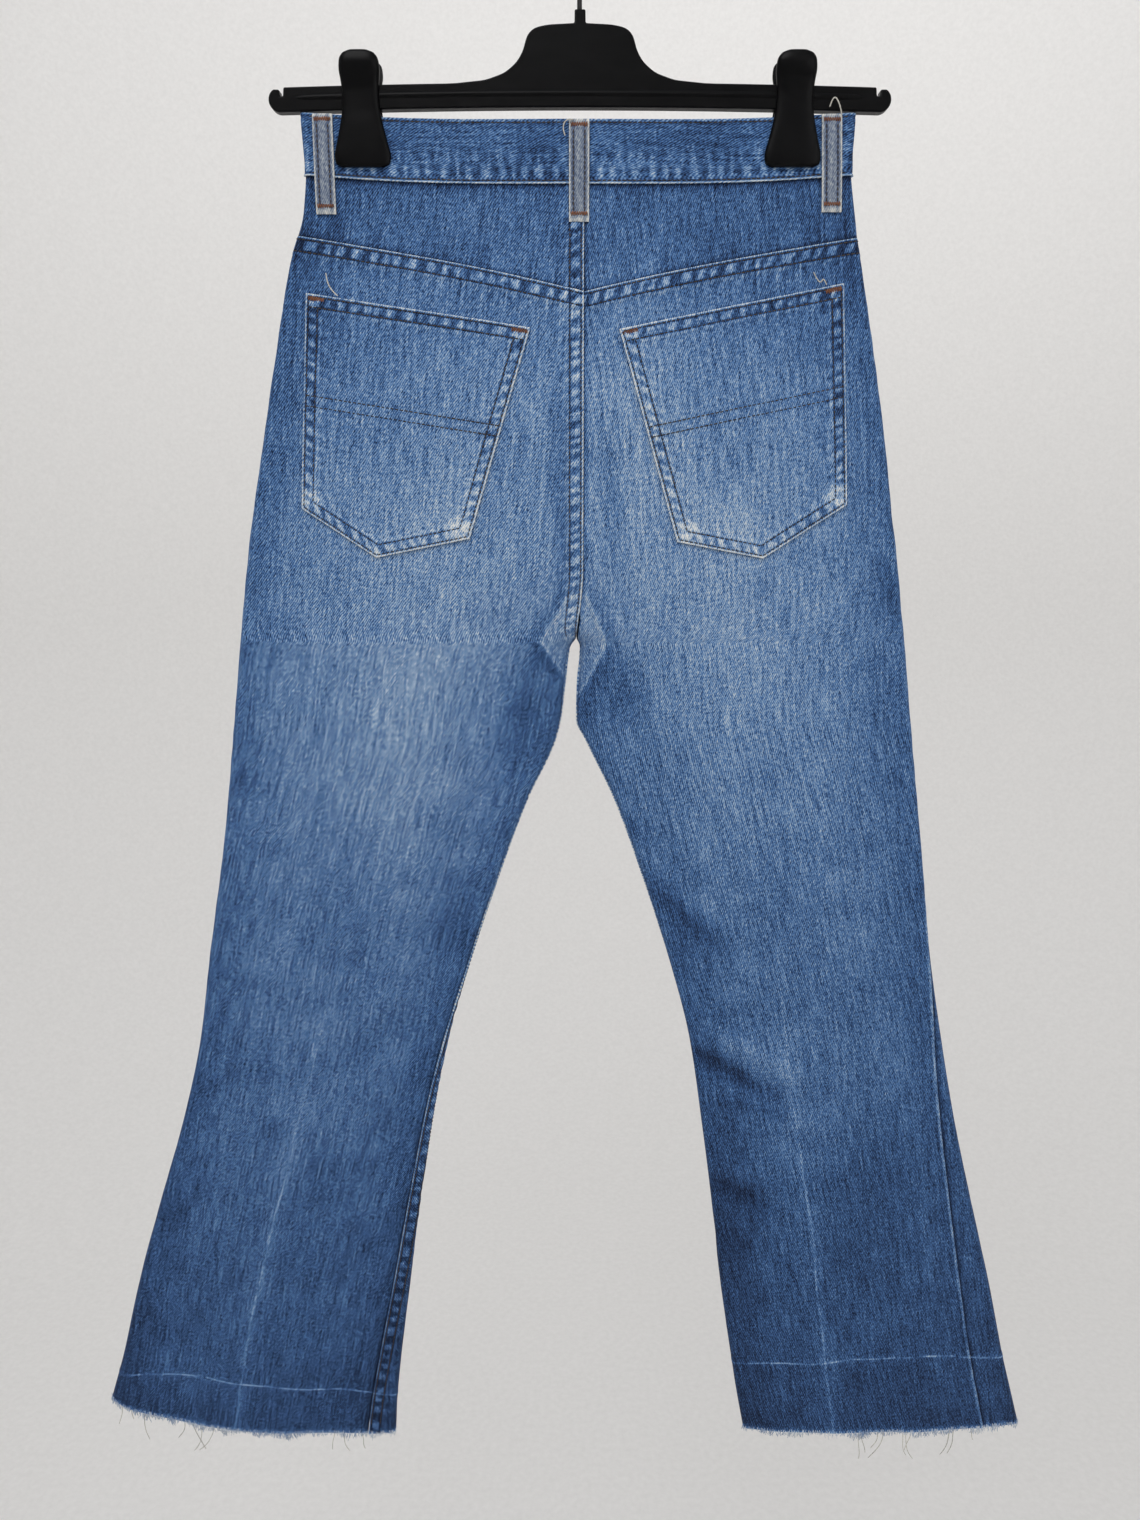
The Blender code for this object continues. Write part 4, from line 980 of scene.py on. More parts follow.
def off_crease(half, z, x):
    """The distance from the pressed crease down the middle of each leg."""
    waver = 1.0 * np.sin(z / 37.0 + half.side) + 0.5 * np.sin(z / 13.0 + 2 * half.side)
    return x - smooth(z, CREASES, 1 if half.side < 0 else 2) - waver


def off_hem(half, z, x):
    """The distance from the line of the old, let-down hem."""
    return z - hem_line(x, half.side) - old_hem_height(x, half.side) - 0.7 * np.sin(x / 11.0 + half.side)


def wear_lines(half, z, a):
    """The distances from the crease, where it shows, and from the old hem."""
    x = half.read(half.x, z, a)
    faint = 12.0 * (1 - ease(z, -650.0, -900.0)) ** 2
    return off_crease(half, z, x) * (1 + faint), off_hem(half, z, x)


def pucker(along, pitch, seed):
    """An uneven wave along a seam, from -1 to 1."""
    turn = 2 * math.pi * along / pitch
    phase = turn + 1.2 * np.sin(turn / 3.7 + seed) + 0.8 * np.sin(turn / 7.3 + 2.1 * seed)
    swell = 0.7 + 0.3 * np.sin(turn / 5.1 + 3.3 * seed)
    return np.sin(phase) * swell


LAP_HEIGHT = 1.0
LAP_WIDTH = 10.6
LAP_ROWS = (1.8, 8.9)


def lapped(d, along, pitch, seed, height=LAP_HEIGHT, rows=LAP_ROWS, width=LAP_WIDTH, light=1.0):
    """Lift and tone of a lapped and sewn edge; d is the distance in from its fold."""
    d = np.maximum(d, 0.0)
    lip = np.sqrt(1 - (1 - np.clip(d / 0.9, 0, 1)) ** 2)
    wave = pucker(along + 0.4 * d, pitch, seed)
    inside = ease(d, rows[0] + 0.2, rows[0] + 1.4) * (1 - ease(d, rows[-1] - 1.4, rows[-1] - 0.2))
    beyond = ease(d, rows[-1] + 0.2, rows[-1] + 1.6) * (1 - ease(d, rows[-1] + 3, rows[-1] + 10))
    groove = sum(bump(d - row, 0.7) for row in rows)
    lift = height * lip * (1 - ease(d, width - 0.6, width + 1.4))
    lift = lift + 0.32 * wave * inside + 0.22 * wave * beyond - 0.3 * groove
    patches = ease(wave, -0.3, 0.35)
    worn = 0.8 + 0.2 * pucker(along, 3.9, 2 * seed)
    tone = 0.46 * light * worn * bump(d, 1.0) - 0.20 * groove
    tone = tone + light * (0.35 * patches * worn - 0.13) * inside
    tone = tone + light * (0.09 * patches - 0.045) * beyond
    tone = tone + 0.09 * light * worn * bump(d - rows[-1] - 1.7, 0.8)
    return lift, tone


def beside(d, depth=0.12, reach=3.5):
    """Darker blue of cloth lying under a neighbour's folded edge: partly unworn dye, partly painted shadow of
    the edge.
    """
    d = np.maximum(d, 0)
    return -depth * (0.55 * bump(d, reach) + bump(d, 0.35 * reach))


def flow(z, a, seed):
    """Slow waves of hanging cloth."""
    first = 0.5 * np.sin(2 * math.pi * (2.3 * a + z / 460.0) + seed)
    second = 0.3 * np.sin(2 * math.pi * (4.1 * a - z / 610.0) + 2.7 * seed)
    return (first + second) * ease(z, -190.0, -300.0)


def seam_places(half, z):
    """How far the side seam and the inner seam have crept round their folds."""
    return smooth(z, SEAM_CREEP, 1) * half.side, smooth(z, SEAM_CREEP, 2) * half.side


def seam_distances(half, back, z, a):
    """Distances over the cloth from the side seam and from the inner seam."""
    arc = half.arc(z, a)
    back_length, front_length = half.lengths(z)
    side_seam, inseam = seam_places(half, z)
    if back:
        return arc - side_seam, back_length + inseam - arc
    return side_seam - arc, front_length - inseam + arc


class Surface:
    """The lift and tone of a stretch of cloth, added up layer by layer."""

    def __init__(self, lift, tone):
        self.lift = lift
        self.tone = tone

    def add(self, layer, lift_share=1.0, tone_share=1.0, where=True):
        """Add a layer's lift and tone, each times its share, where the cloth has it."""
        lift, tone = layer
        self.lift = self.lift + np.where(where, lift * lift_share, 0)
        self.tone = self.tone + np.where(where, tone * tone_share, 0)


def add_top_seam(made, back, x, z, seed, from_side):
    """The lapped edge under the yoke, or along the front pocket mouth."""
    if back:
        lap = lapped((yoke_seam(x) - z) * YOKE_SQUARE, x, 9.4, seed)
        made.add(lap, 0.3 + 0.7 * ease(from_side, 1.0, 14.0))
    else:
        mouth = ease(np.abs(x), POCKET_MOUTH_START - 2, POCKET_MOUTH_START + 4)
        lap = lapped(front_panel_top(x) - z, x + z, 9.0, seed, rows=FRONT_ROWS, width=9.6)
        made.add(lap, mouth, mouth)


def add_inner_seam(made, half, back, z, seed, from_inner):
    """The centre seam, whose left half laps over the right, and the seam inside the leg."""
    above = z > CROTCH
    fade_out = ease(z, CROTCH + 1.0, CROTCH + 12.0)
    lap = lapped(from_inner, z, 7.6 if back else 9.2, seed)
    made.add(lap, fade_out, 0.4 + 0.6 * fade_out, above & (half.side < 0))
    # Painted shadow, with darker dye, beside the left half's lapped edge.
    made.add((0, beside(from_inner)), where=above & (half.side > 0))
    if back:
        # Painted shadow, with darker dye, beside the front's lapped inseam.
        made.add((0, beside(from_inner, 0.10, 3.0)), where=~above)
    else:
        fade_in = ease(z, CROTCH - 4.0, CROTCH - 30.0)
        made.add(lapped(from_inner, z, 10.5, seed + 1, light=0.75), fade_in, fade_in, ~above)


def add_side_seam(made, back, z, seed, from_side):
    """The side seam is pressed to the back, which makes a light ridge there."""
    shown = ease(z, -195.0, -215.0)
    if back:
        wave = pucker(z, 26.0, seed)
        ridge = 0.9 * np.sqrt(1 - (1 - np.clip(from_side / 1.2, 0, 1)) ** 2)
        ridge = ridge * (1 - ease(from_side, 3.0, 12.0)) * (1 + 0.15 * wave)
        worn = (1 - ease(from_side, 1.5, 3.2)) * (0.17 + 0.05 * wave)
        made.add((ridge, worn), shown, shown * (0.45 + 0.55 * ease(z, -500.0, -700.0)))
    else:
        # Painted shadow, with darker dye, beside the ridge on the front.
        made.add((0, beside(from_side, 0.15, 3.6)), tone_share=shown)


def add_hem(made, half, x, z):
    """The line of the old hem and the worn cut edge."""
    old = off_hem(half, z, x)
    made.add((0.3 * bump(old, 2.0), 0.02 * bump(old, 4.0)))
    hem = z - hem_line(x, half.side)
    made.add((0, 0.26 * bump(hem, 2.4) - 0.02 * (1 - ease(hem, 0.0, 40.0))))


def relief(half, back, z, a):
    """Lift and tone of the body cloth: panels below the yoke or waist."""
    z = np.asarray(z, float)
    a = np.broadcast_to(np.asarray(a, float), z.shape)
    x = half.read(half.x, z, a)
    seed = 1.3 + half.side + (2.0 if back else 0.0)
    from_side, from_inner = seam_distances(half, back, z, a)
    waves = flow(z, a, seed) * ease(from_side, 0.0, 25.0) * ease(from_inner, 0.0, 25.0)
    folds = line_heights(x, z, FINE_BACK_FOLDS if back else FINE_FRONT_FOLDS)
    # The tone follows the small folds: painted light on their ridges, painted shade in their troughs.
    made = Surface(waves + folds, fade_and_shade(half, z, a, x, back) + 0.02 * folds)
    glow = bump(off_crease(half, z, x), 9.0) * ease(z, -600.0, -880.0)
    made.add((0.45 * glow, CREASE_LIGHT * glow))
    add_top_seam(made, back, x, z, seed, from_side)
    add_inner_seam(made, half, back, z, seed, from_inner)
    add_side_seam(made, back, z, seed, from_side)
    add_hem(made, half, x, z)
    if back:
        # Painted light and shade on the back: the tone follows the largest folds' heights, and the fold table
        # adds more.
        made.add((0, 0.018 * line_heights(x, z, BACK_FOLDS) + line_heights(x, z, BACK_FOLD_LIGHT_AND_SHADE)))
        made.add(crotch_folds(half, x, z))
        rim = ease(z, CROTCH + 4.0, CROTCH - 4.0) * (1 - ease(z, -478.0, -500.0))
        made.add((0, 0.26 * bump(from_inner - 0.9, 0.8) * rim))
    return made.lift, made.tone


CROTCH_FACETS = {
    # side: three corners of the small folded triangle beside the crotch
    -1: ((-7.0, -419.0), (-25.0, -449.0), (-8.0, -476.0)),
    1: ((4.0, -416.0), (18.5, -451.0), (-1.0, -490.0)),
}


def crotch_folds(half, x, z):
    """Sharp little folds where the legs part: a facet painted lighter, a painted highlight on its ridge and a
    painted shadow beyond it.
    """
    top, corner, low = CROTCH_FACETS[half.side]
    inwards = [line_distance(x, z, first, second) * half.side
               for first, second in ((top, corner), (corner, low))]
    beyond = -np.minimum(*inwards)
    level = ease(z, low[1] - 6.0, low[1] + 10.0) * (1 - ease(z, top[1] - 6.0, top[1] + 8.0))
    inside = 1 - ease(beyond, -1.6, 0.4)
    lift = (0.6 * bump(beyond, 1.6) - 0.8 * inside) * level
    # Painted light on the facet and its ridge, painted shadow beyond the ridge.
    tone = 0.07 * inside + 0.19 * bump(beyond, 1.1) - 0.10 * bump(beyond - 5.0, 5.0)
    return lift, tone * level


OLD_HEM = [
    # x, height over the cut edge
    (-380, 24.0),
    (-340, 38.0),
    (-292, 46.0),
    (-253, 43.0),
    (-189, 42.0),
    (-145, 37.0),
    (118, 61.0),
    (163, 66.0),
    (204, 67.0),
    (248, 69.0),
    (300, 67.0),
    (340, 62.0),
]


def old_hem_height(x, side):
    rows = [row for row in OLD_HEM if row[0] * side > 0]
    return np.interp(x, [row[0] for row in rows], [row[1] for row in rows])


LEG_LEAN = 0.2


def grain_of(half, z, a):
    """The place of points on the flat cut, with the warp running down the leg."""
    arc = half.arc(z, a)
    back_length, front_length = half.lengths(z)
    from_middle = np.where(a < 0, arc + front_length / 2, arc - back_length / 2)
    from_middle = from_middle * (-half.side) * np.where(a < 0, -1, 1)
    lean = math.atan(LEG_LEAN) * half.side
    across = from_middle * math.cos(lean)
    down = z / math.cos(lean) - from_middle * math.sin(lean)
    return np.stack([across, down], axis=-1)


def half_cloth(name, half, z, a, lifts, tone, lines=None):
    """Cloth on a half of the jeans, between an outer and an inner lift."""
    outer, inner = [half.points(z, a, lift) for lift in lifts]
    return cloth(name, outer, inner, tone, grain_of(half, z, a), lines=lines)


# Panels

EDGE_STEPS = (
    0.0, 0.3, 0.7, 1.1, 1.5, 1.9, 2.4, 3.0, 3.8, 4.8, 5.8, 6.8, 7.6, 8.2, 8.7, 9.1, 9.6, 10.2,
    10.9, 11.8, 13.0, 14.6,
)
FOLD_COLUMNS = 9
MIDDLE_COLUMNS = 52
FOLD_BEYOND = 14.0


def panel_columns(half, z, back):
    """Columns for one row of a panel, closer together at its seams and folds."""
    sign = 1.0 if back else -1.0
    side_seam, inseam = [float(place) for place in seam_places(half, z)]
    start = sign * side_seam + HALF_SEAM
    end = sign * inseam - HALF_SEAM
    columns = [(0.0, start + step) for step in EDGE_STEPS]
    fold_start = start + EDGE_STEPS[-1]
    fold_stop = max(fold_start, 0.0) + FOLD_BEYOND
    for k in range(1, FOLD_COLUMNS + 1):
        columns.append((0.0, fold_start + (fold_stop - fold_start) * k / FOLD_COLUMNS))
    inner_start = end - EDGE_STEPS[-1]
    inner_stop = min(inner_start, 0.0) - FOLD_BEYOND
    for k in range(1, MIDDLE_COLUMNS):
        share = k / MIDDLE_COLUMNS
        columns.append((share, fold_stop * (1 - share) + inner_stop * share))
    for k in range(FOLD_COLUMNS):
        columns.append((1.0, inner_stop + (inner_start - inner_stop) * k / FOLD_COLUMNS))
    columns += [(1.0, end - step) for step in reversed(EDGE_STEPS)]
    return columns


PANEL_TOP_MIDDLE = -210.0
HEM_MIDDLE = -1085.0
SEAT_ROW = 1.6
LEG_ROW = 2.4
CROTCH_ROW = 1.2


def panel_rows(half, back):
    """(height over x, a middle height) for each row of a panel."""
    top_line = yoke_seam if back else front_panel_top
    rows = []

    def below(distance):
        return lambda x: top_line(x) - HALF_SEAM - distance

    for distance in EDGE_STEPS:
        rows.append((below(distance), PANEL_TOP_MIDDLE))
    count = int((PANEL_TOP_MIDDLE - SEAT_LEVEL) / SEAT_ROW)
    for k in range(1, count + 1):
        step = k / count

        def blended(x, step=step):
            return (top_line(x) - HALF_SEAM - EDGE_STEPS[-1]) * (1 - step) + SEAT_LEVEL * step
        rows.append((blended, PANEL_TOP_MIDDLE * (1 - step) + SEAT_LEVEL * step))
    level = SEAT_LEVEL
    while level > SHIN_LEVEL:
        level -= CROTCH_ROW if level > CROTCH - 8 else LEG_ROW
        level = max(level, SHIN_LEVEL)
        rows.append((lambda x, level=level: np.full(x.shape, level), level))
    count = int((SHIN_LEVEL - HEM_MIDDLE) / LEG_ROW)
    for k in range(1, count + 1):
        step = k / count

        def lower(x, step=step):
            return SHIN_LEVEL * (1 - step) + hem_line(x, half.side) * step
        rows.append((lower, SHIN_LEVEL * (1 - step) + HEM_MIDDLE * step))
    return rows


HEMS = {}


def panel(name, half, back):
    rows = []
    for height, middle in panel_rows(half, back):
        rows.append(settle(half, height, panel_columns(half, middle, back), back, middle))
    z, a = np.swapaxes(np.array(rows), 0, 1)
    lift, tone = relief(half, back, z, a)
    HEMS[name] = (half, z[-1], a[-1])
    return half_cloth(name, half, z, a, (lift, lift - DENIM), tone, wear_lines(half, z, a))


PANELS = {
    "back_panel_left": (LEFT, True),
    "back_panel_right": (RIGHT, True),
    "front_panel_left": (LEFT, False),
    "front_panel_right": (RIGHT, False),
}
CLOTH = {name: panel(name, *facts) for name, facts in PANELS.items()}


# Yokes

def yoke_relief(half, z, a):
    """Lift and tone of a back yoke."""
    x = half.read(half.x, z, a)
    seed = 4.2 + half.side
    from_side, from_inner = seam_distances(half, True, z, a)
    above_seam = z - yoke_seam(x)
    made = Surface(np.zeros_like(x), fade_and_shade(half, z, a, x, True) - 0.01)
    if half.side < 0:
        made.add(lapped(from_inner, z, 8.2, seed))
    else:
        # Painted shadow, with darker dye, beside the left yoke's lapped edge.
        made.add((0, beside(from_inner)))
    # Painted shadow, with darker dye, beside the panel's lapped edge and under the waistband's lower edge.
    made.add((0, beside(above_seam, 0.10, 3.4) + beside(waist_seam(x, True) - z, 0.12, 4.5)))
    wave = pucker(x, 21.0, seed)
    made.add((0.25 * wave * bump(above_seam - 9.0, 7.0), 0.03 * wave * bump(above_seam - 8.0, 7.0)))
    made.add((0, bump(from_side, 1.6) * 0.12))
    return made.lift, made.tone


def yoke(name, half):
    columns = [(0.0, HALF_SEAM + step) for step in EDGE_STEPS]
    stop = EDGE_STEPS[-1]
    for k in range(1, MIDDLE_COLUMNS):
        share = k / MIDDLE_COLUMNS
        columns.append((share, stop * (1 - share) - stop * share))
    columns += [(1.0, -HALF_SEAM - step) for step in reversed(EDGE_STEPS)]
    rows = []
    for step in np.linspace(0, 1, 40):
        def height(x, step=step):
            low = yoke_seam(x) + HALF_SEAM
            return (waist_seam(x, True) - HALF_SEAM) * (1 - step) + low * step
        rows.append(settle(half, height, columns, True, PANEL_TOP_MIDDLE))
    z, a = np.swapaxes(np.array(rows), 0, 1)
    lift, tone = yoke_relief(half, z, a)
    return half_cloth(name, half, z, a, (lift, lift - DENIM), tone)


CLOTH["back_yoke_left"] = yoke("back_yoke_left", LEFT)
CLOTH["back_yoke_right"] = yoke("back_yoke_right", RIGHT)


# Sewing threads

class Threads:
    """Many short round threads gathered in one mesh."""

    def __init__(self, name, material, slot="cotton_thread"):
        self.name = name
        self.material = material
        self.slot = slot
        self.points = []
        self.faces = []

    def add(self, path, radius, normal=None, taper=0.45, sides=5):
        """A tube along a path of points in millimetres, closed to a point at each end."""
        path = np.asarray(path, float)
        slope = np.gradient(path, axis=0)
        slope /= np.linalg.norm(slope, axis=1, keepdims=True) + TINY
        guide = np.array([0.0, -1.0, 0.0]) if normal is None else np.asarray(normal, float)
        side = np.cross(slope, guide)
        side /= np.linalg.norm(side, axis=1, keepdims=True) + TINY
        up = np.cross(side, slope)
        start = len(self.points)
        count = len(path)
        for i in range(count):
            size = radius * (taper if i in (0, count - 1) else 1.0)
            for k in range(sides):
                turn = 2 * math.pi * k / sides
                self.points.append(path[i] + size * (math.cos(turn) * side[i] + math.sin(turn) * up[i]))
        for i in range(count - 1):
            for k in range(sides):
                a = start + i * sides + k
                b = start + i * sides + (k + 1) % sides
                self.faces.append((a, b, b + sides, a + sides))
        self.faces.append(tuple(start + k for k in reversed(range(sides))))
        self.faces.append(tuple(start + (count - 1) * sides + k for k in range(sides)))

    def make(self, replaces=()):
        mesh = bpy.data.meshes.new(self.name)
        mesh.from_pydata((np.array(self.points) * MM).tolist(), [], self.faces)
        mesh.shade_smooth()
        return link(self.name, mesh, self.material, replaces)


STITCH_PITCH = 3.1
STITCH_RADIUS = 0.37
DRAW = random.Random(20)


def sew(threads, path, pitch=STITCH_PITCH, radius=STITCH_RADIUS, fill=0.86):
    """Stitches along a path of surface points; each dips into the cloth at its ends.

    path is rows of (point, outward normal).
    """
    points = np.array([p for p, n in path])
    normals = np.array([n for p, n in path])
    reach = lengths_along(points)
    count = max(1, int(round(reach[-1] / pitch)))
    step = reach[-1] / count

    def at(distance):
        normal = between(normals, reach, distance)
        return between(points, reach, distance), normal / (np.linalg.norm(normal) + TINY)

    for i in range(count):
        start = (i + (1 - fill) / 2) * step + DRAW.uniform(-0.08, 0.08)
        made = []
        for share, dip in ((0.0, -0.45), (0.25, 0.02), (0.75, 0.02), (1.0, -0.45)):
            point, normal = at(start + share * fill * step)
            made.append(point + normal * (dip + radius * 0.5))
        threads.add(made, radius * DRAW.uniform(0.9, 1.08), at(start)[1])


def surface_path(half, z, a, lift):
    points = half.points(z, a, lift)
    normals = half.read(half.normal, z, a)
    return list(zip(points, normals))


STITCHES = Threads("topstitching", STITCH_MATERIAL)
TACKS = Threads("bartacks", TACK_MATERIAL)


def sew_line(half, back, x, z):
    """A stitch row on the panels through x, z points."""
    a = half.place_of_x(z, x, back)
    sew(STITCHES, surface_path(half, z, a, relief(half, back, z, a)[0]))


YOKE_RUNS = (
    # half, x at the seat seam, x at the side
    (LEFT, 0.0, -186.0),
    (RIGHT, 5.5, 182.0),
)


def sew_yoke_seams():
    for half, start, end in YOKE_RUNS:
        for row in LAP_ROWS:
            x = np.linspace(start, end, 90)
            sew_line(half, True, x, yoke_seam(x) - HALF_SEAM - row / YOKE_SQUARE)


def inner_seam_path(half, back, z, distance):
    """Places at a distance in from the inner seam."""
    back_length, front_length = half.lengths(z)
    inseam = seam_places(half, z)[1]
    if back:
        return half.round_place(z, back_length + inseam - distance)
    return half.round_place(z, -(front_length - inseam - distance))


INNER_RUNS = (
    # half, back, on the yoke, top, bottom, points
    (LEFT, True, True, -191.0, -229.0, 20),
    (LEFT, True, False, -236.0, CROTCH + 2.0, 110),
    (LEFT, False, False, CROTCH - 8.0, -1083.0, 260),
    (RIGHT, False, False, CROTCH - 8.0, -1083.0, 260),
    (LEFT, False, False, -330.0, CROTCH + 2.0, 60),
)


def sew_inner_seams():
    for row in LAP_ROWS:
        for half, back, on_yoke, top, bottom, count in INNER_RUNS:
            z = np.linspace(top, bottom, count)
            a = inner_seam_path(half, back, z, row)
            lift = yoke_relief(half, z, a)[0] if on_yoke else relief(half, back, z, a)[0]
            sew(STITCHES, surface_path(half, z, a, lift))


sew_yoke_seams()
sew_inner_seams()


def bartack(centre, along, normal, width, height, count=15, radius=0.3):
    """A dense zigzag of rust thread."""
    centre = np.asarray(centre, float)
    along = np.asarray(along, float) / np.linalg.norm(along)
    normal = np.asarray(normal, float) / np.linalg.norm(normal)
    up = np.cross(normal, along)
    for i in range(count):
        offset = (i / (count - 1) - 0.5) * width
        lean = 0.5 if i % 2 else -0.5
        size = height * DRAW.uniform(0.8, 1.1)
        low = centre + along * (offset - lean * 0.5) - up * size / 2 - normal * 0.15
        high = centre + along * (offset + lean * 0.5) + up * size / 2 - normal * 0.15
        middle = (low + high) / 2 + normal * 0.38
        low_bend = (low + middle) / 2 + normal * 0.12
        high_bend = (high + middle) / 2 + normal * 0.12
        TACKS.add([low, low_bend, middle, high_bend, high], radius, normal)


# Back pockets

POCKETS = {
    # name: half, mouth left, mouth right, lower left, point, lower right
    "back_pocket_left": (LEFT, (-173.5, -228.2), (-30.8, -250.6), (-182.2, -361.9),
                         (-133.2, -393.5), (-71.1, -381.0)),
    "back_pocket_right": (RIGHT, (25.2, -251.6), (167.9, -222.4), (64.1, -383.1),
                          (121.3, -394.0), (176.1, -359.5)),
}
POCKET_EDGE = (0.0, 0.3, 0.7, 1.1, 1.6, 2.1, 2.8, 3.8, 4.8, 5.8, 6.8, 7.5, 8.0, 8.5, 9.2, 10.2, 11.4, 13.0)
POCKET_ROWS_IN = {"mouth": (1.8, 8.0), "side": (1.7, 7.9)}
PLAIN_ROWS = (62.0, 68.5)


def edge_shares(length, middle):
    start = [step / length for step in POCKET_EDGE]
    count = max(2, int((length - 2 * POCKET_EDGE[-1]) / middle))
    inside = [start[-1] + (1 - 2 * start[-1]) * k / count for k in range(1, count)]
    return np.array(start + inside + [1 - s for s in reversed(start)])


POCKET_LAP = 0.55
POCKET_WEAR = (
    # corner, reach, how far inward, amount
    (0, 6.0, 2.0, 0.14),
    (1, 6.0, 2.0, 0.14),
    (2, 7.5, 6.5, 0.19),
    (4, 8.0, 6.5, 0.24),
    (3, 6.0, 0.0, 0.12),
)
POCKET_MIDDLE_LEVEL = -300.0


def pocket_edges(corners, x, z, seed):
    """Lift and tone of the nearest sewn edge, and the distances from the mouth and sides."""
    mouth_left, mouth_right, lower_left, point, lower_right = corners
    edges = (
        # first corner, second corner, along, pitch, shift of the seed, rows, width
        (mouth_left, mouth_right, x, 8.4, 0.0, POCKET_ROWS_IN["mouth"], 10.0),
        (lower_left, mouth_left, z, 7.8, 1.1, POCKET_ROWS_IN["side"], 9.6),
        (mouth_right, lower_right, z, 7.8, 2.3, POCKET_ROWS_IN["side"], 9.6),
        (point, lower_left, x, 7.8, 3.2, POCKET_ROWS_IN["side"], 9.6),
        (lower_right, point, x, 7.8, 4.4, POCKET_ROWS_IN["side"], 9.6),
    )
    distances = []
    laps = []
    for first, second, along, pitch, shift, rows, width in edges:
        distances.append(line_distance(x, z, first, second))
        laps.append(lapped(distances[-1], along, pitch, seed + shift, POCKET_LAP, rows, width))
    nearest = np.argmin(np.array(distances), axis=0)[None]
    lift, tone = [np.take_along_axis(np.array(values), nearest, axis=0)[0] for values in zip(*laps)]
    return lift, tone, distances[:3]


def pocket_relief(corners, x, z, seed):
    """Lift and tone of a back pocket over its own flat cloth."""
    lift, tone, (from_mouth, from_left, from_right) = pocket_edges(corners, x, z, seed)
    middle_x = (corners[2][0] + corners[4][0]) / 2
    ragged = np.sin(x * 0.9 + seed) * np.sin(z * 1.2 + 2 * seed) + 0.6 * np.sin(2.3 * x + 1.9 * z)
    for number, reach, inward, amount in POCKET_WEAR:
        corner_x, corner_z = corners[number]
        spot_x = corner_x + inward * np.sign(middle_x - corner_x)
        spot_z = corner_z + (0.9 * inward if corner_z < POCKET_MIDDLE_LEVEL else -inward)
        near = ((x - spot_x) ** 2 + (z - spot_z) ** 2) / reach ** 2 + 0.3 * ragged
        tone = tone + amount * (1 - ease(near, 0.25, 1.5))
    for row in PLAIN_ROWS:
        tone = tone - 0.05 * bump(from_mouth - row, 0.8)
        lift = lift - 0.15 * bump(from_mouth - row, 0.8)
    middle = (PLAIN_ROWS[0] + PLAIN_ROWS[1]) / 2
    inside = ease(from_left, 2.0, 9.0) * ease(from_right, 2.0, 9.0)
    tone = tone + 0.045 * pucker(x, 8.0, seed + 6) * bump(from_mouth - middle, 2.6) * inside
    return lift, tone


POCKET_TONE = 0.015
POCKET_WIDTH = 143.0
POCKET_DEPTH = 135.0
POCKET_STEP = 2.2
POCKET_BELLY = 0.9


def back_pocket(name, half, corners):
    mouth_left, mouth_right, lower_left, point, lower_right = corners
    point_share = (point[0] - lower_left[0]) / (lower_right[0] - lower_left[0])
    across = edge_shares(POCKET_WIDTH, POCKET_STEP)
    across[np.argmin(np.abs(across - point_share))] = point_share
    down = edge_shares(POCKET_DEPTH, POCKET_STEP)[:, None]
    top_x = mouth_left[0] + (mouth_right[0] - mouth_left[0]) * across
    top_z = mouth_left[1] + (mouth_right[1] - mouth_left[1]) * across
    low_x = lower_left[0] + (lower_right[0] - lower_left[0]) * across
    low_z = np.interp(low_x, [lower_left[0], point[0], lower_right[0]],
                      [lower_left[1], point[1], lower_right[1]])
    z = top_z * (1 - down) + low_z * down
    x = top_x * (1 - down) + low_x * down
    seed = 0.7 if half.side < 0 else 2.9
    a = half.place_of_x(z, x, True)
    base_lift = relief(half, True, z, a)[0]
    own_lift, own_tone = pocket_relief(corners, x, z, seed)
    towards_centre = (across[None, :] - 0.5) * -half.side
    tone = fade_and_shade(half, z, a, x, True) + POCKET_TONE + own_tone
    tone = tone + 0.05 * (down - 0.5) + 0.06 * towards_centre
    belly = POCKET_BELLY * np.sin(np.pi * np.clip(across[None, :], 0, 1)) * np.sin(np.pi * down)
    lift = base_lift + PATCH_GAP + own_lift + belly
    made = half_cloth(name, half, z, a, (lift + DENIM, lift), tone)
    sew_pocket(half, corners, seed)
    return made


def pocket_path(half, corners, seed, x, z):
    a = half.place_of_x(z, x, True)
    lift = relief(half, True, z, a)[0] + PATCH_GAP + DENIM + pocket_relief(corners, x, z, seed)[0]
    mouth_left, mouth_right = corners[:2]
    across = np.clip((x - mouth_left[0]) / (mouth_right[0] - mouth_left[0]), 0, 1)
    down = np.clip((mouth_left[1] - z) / POCKET_DEPTH, 0, 1)
    lift = lift + POCKET_BELLY * np.sin(np.pi * across) * np.sin(np.pi * down)
    return surface_path(half, z, a, lift)


def inset(corners, distance):
    """The pocket's outline moved in: a list of corners, from the left of the mouth."""
    mouth_left, mouth_right, lower_left, point, lower_right = [np.array(c) for c in corners]
    outline = [mouth_left, lower_left, point, lower_right, mouth_right]
    made = []
    for i, corner in enumerate(outline):
        before = outline[i - 1]
        after = outline[(i + 1) % 5]
        first = (corner - before) / np.linalg.norm(corner - before)
        second = (after - corner) / np.linalg.norm(after - corner)
        normal_first = np.array([-first[1], first[0]])
        normal_second = np.array([-second[1], second[0]])
        share = distance / (1 + np.dot(normal_first, normal_second))
        made.append(corner + (normal_first + normal_second) * share)
    return made


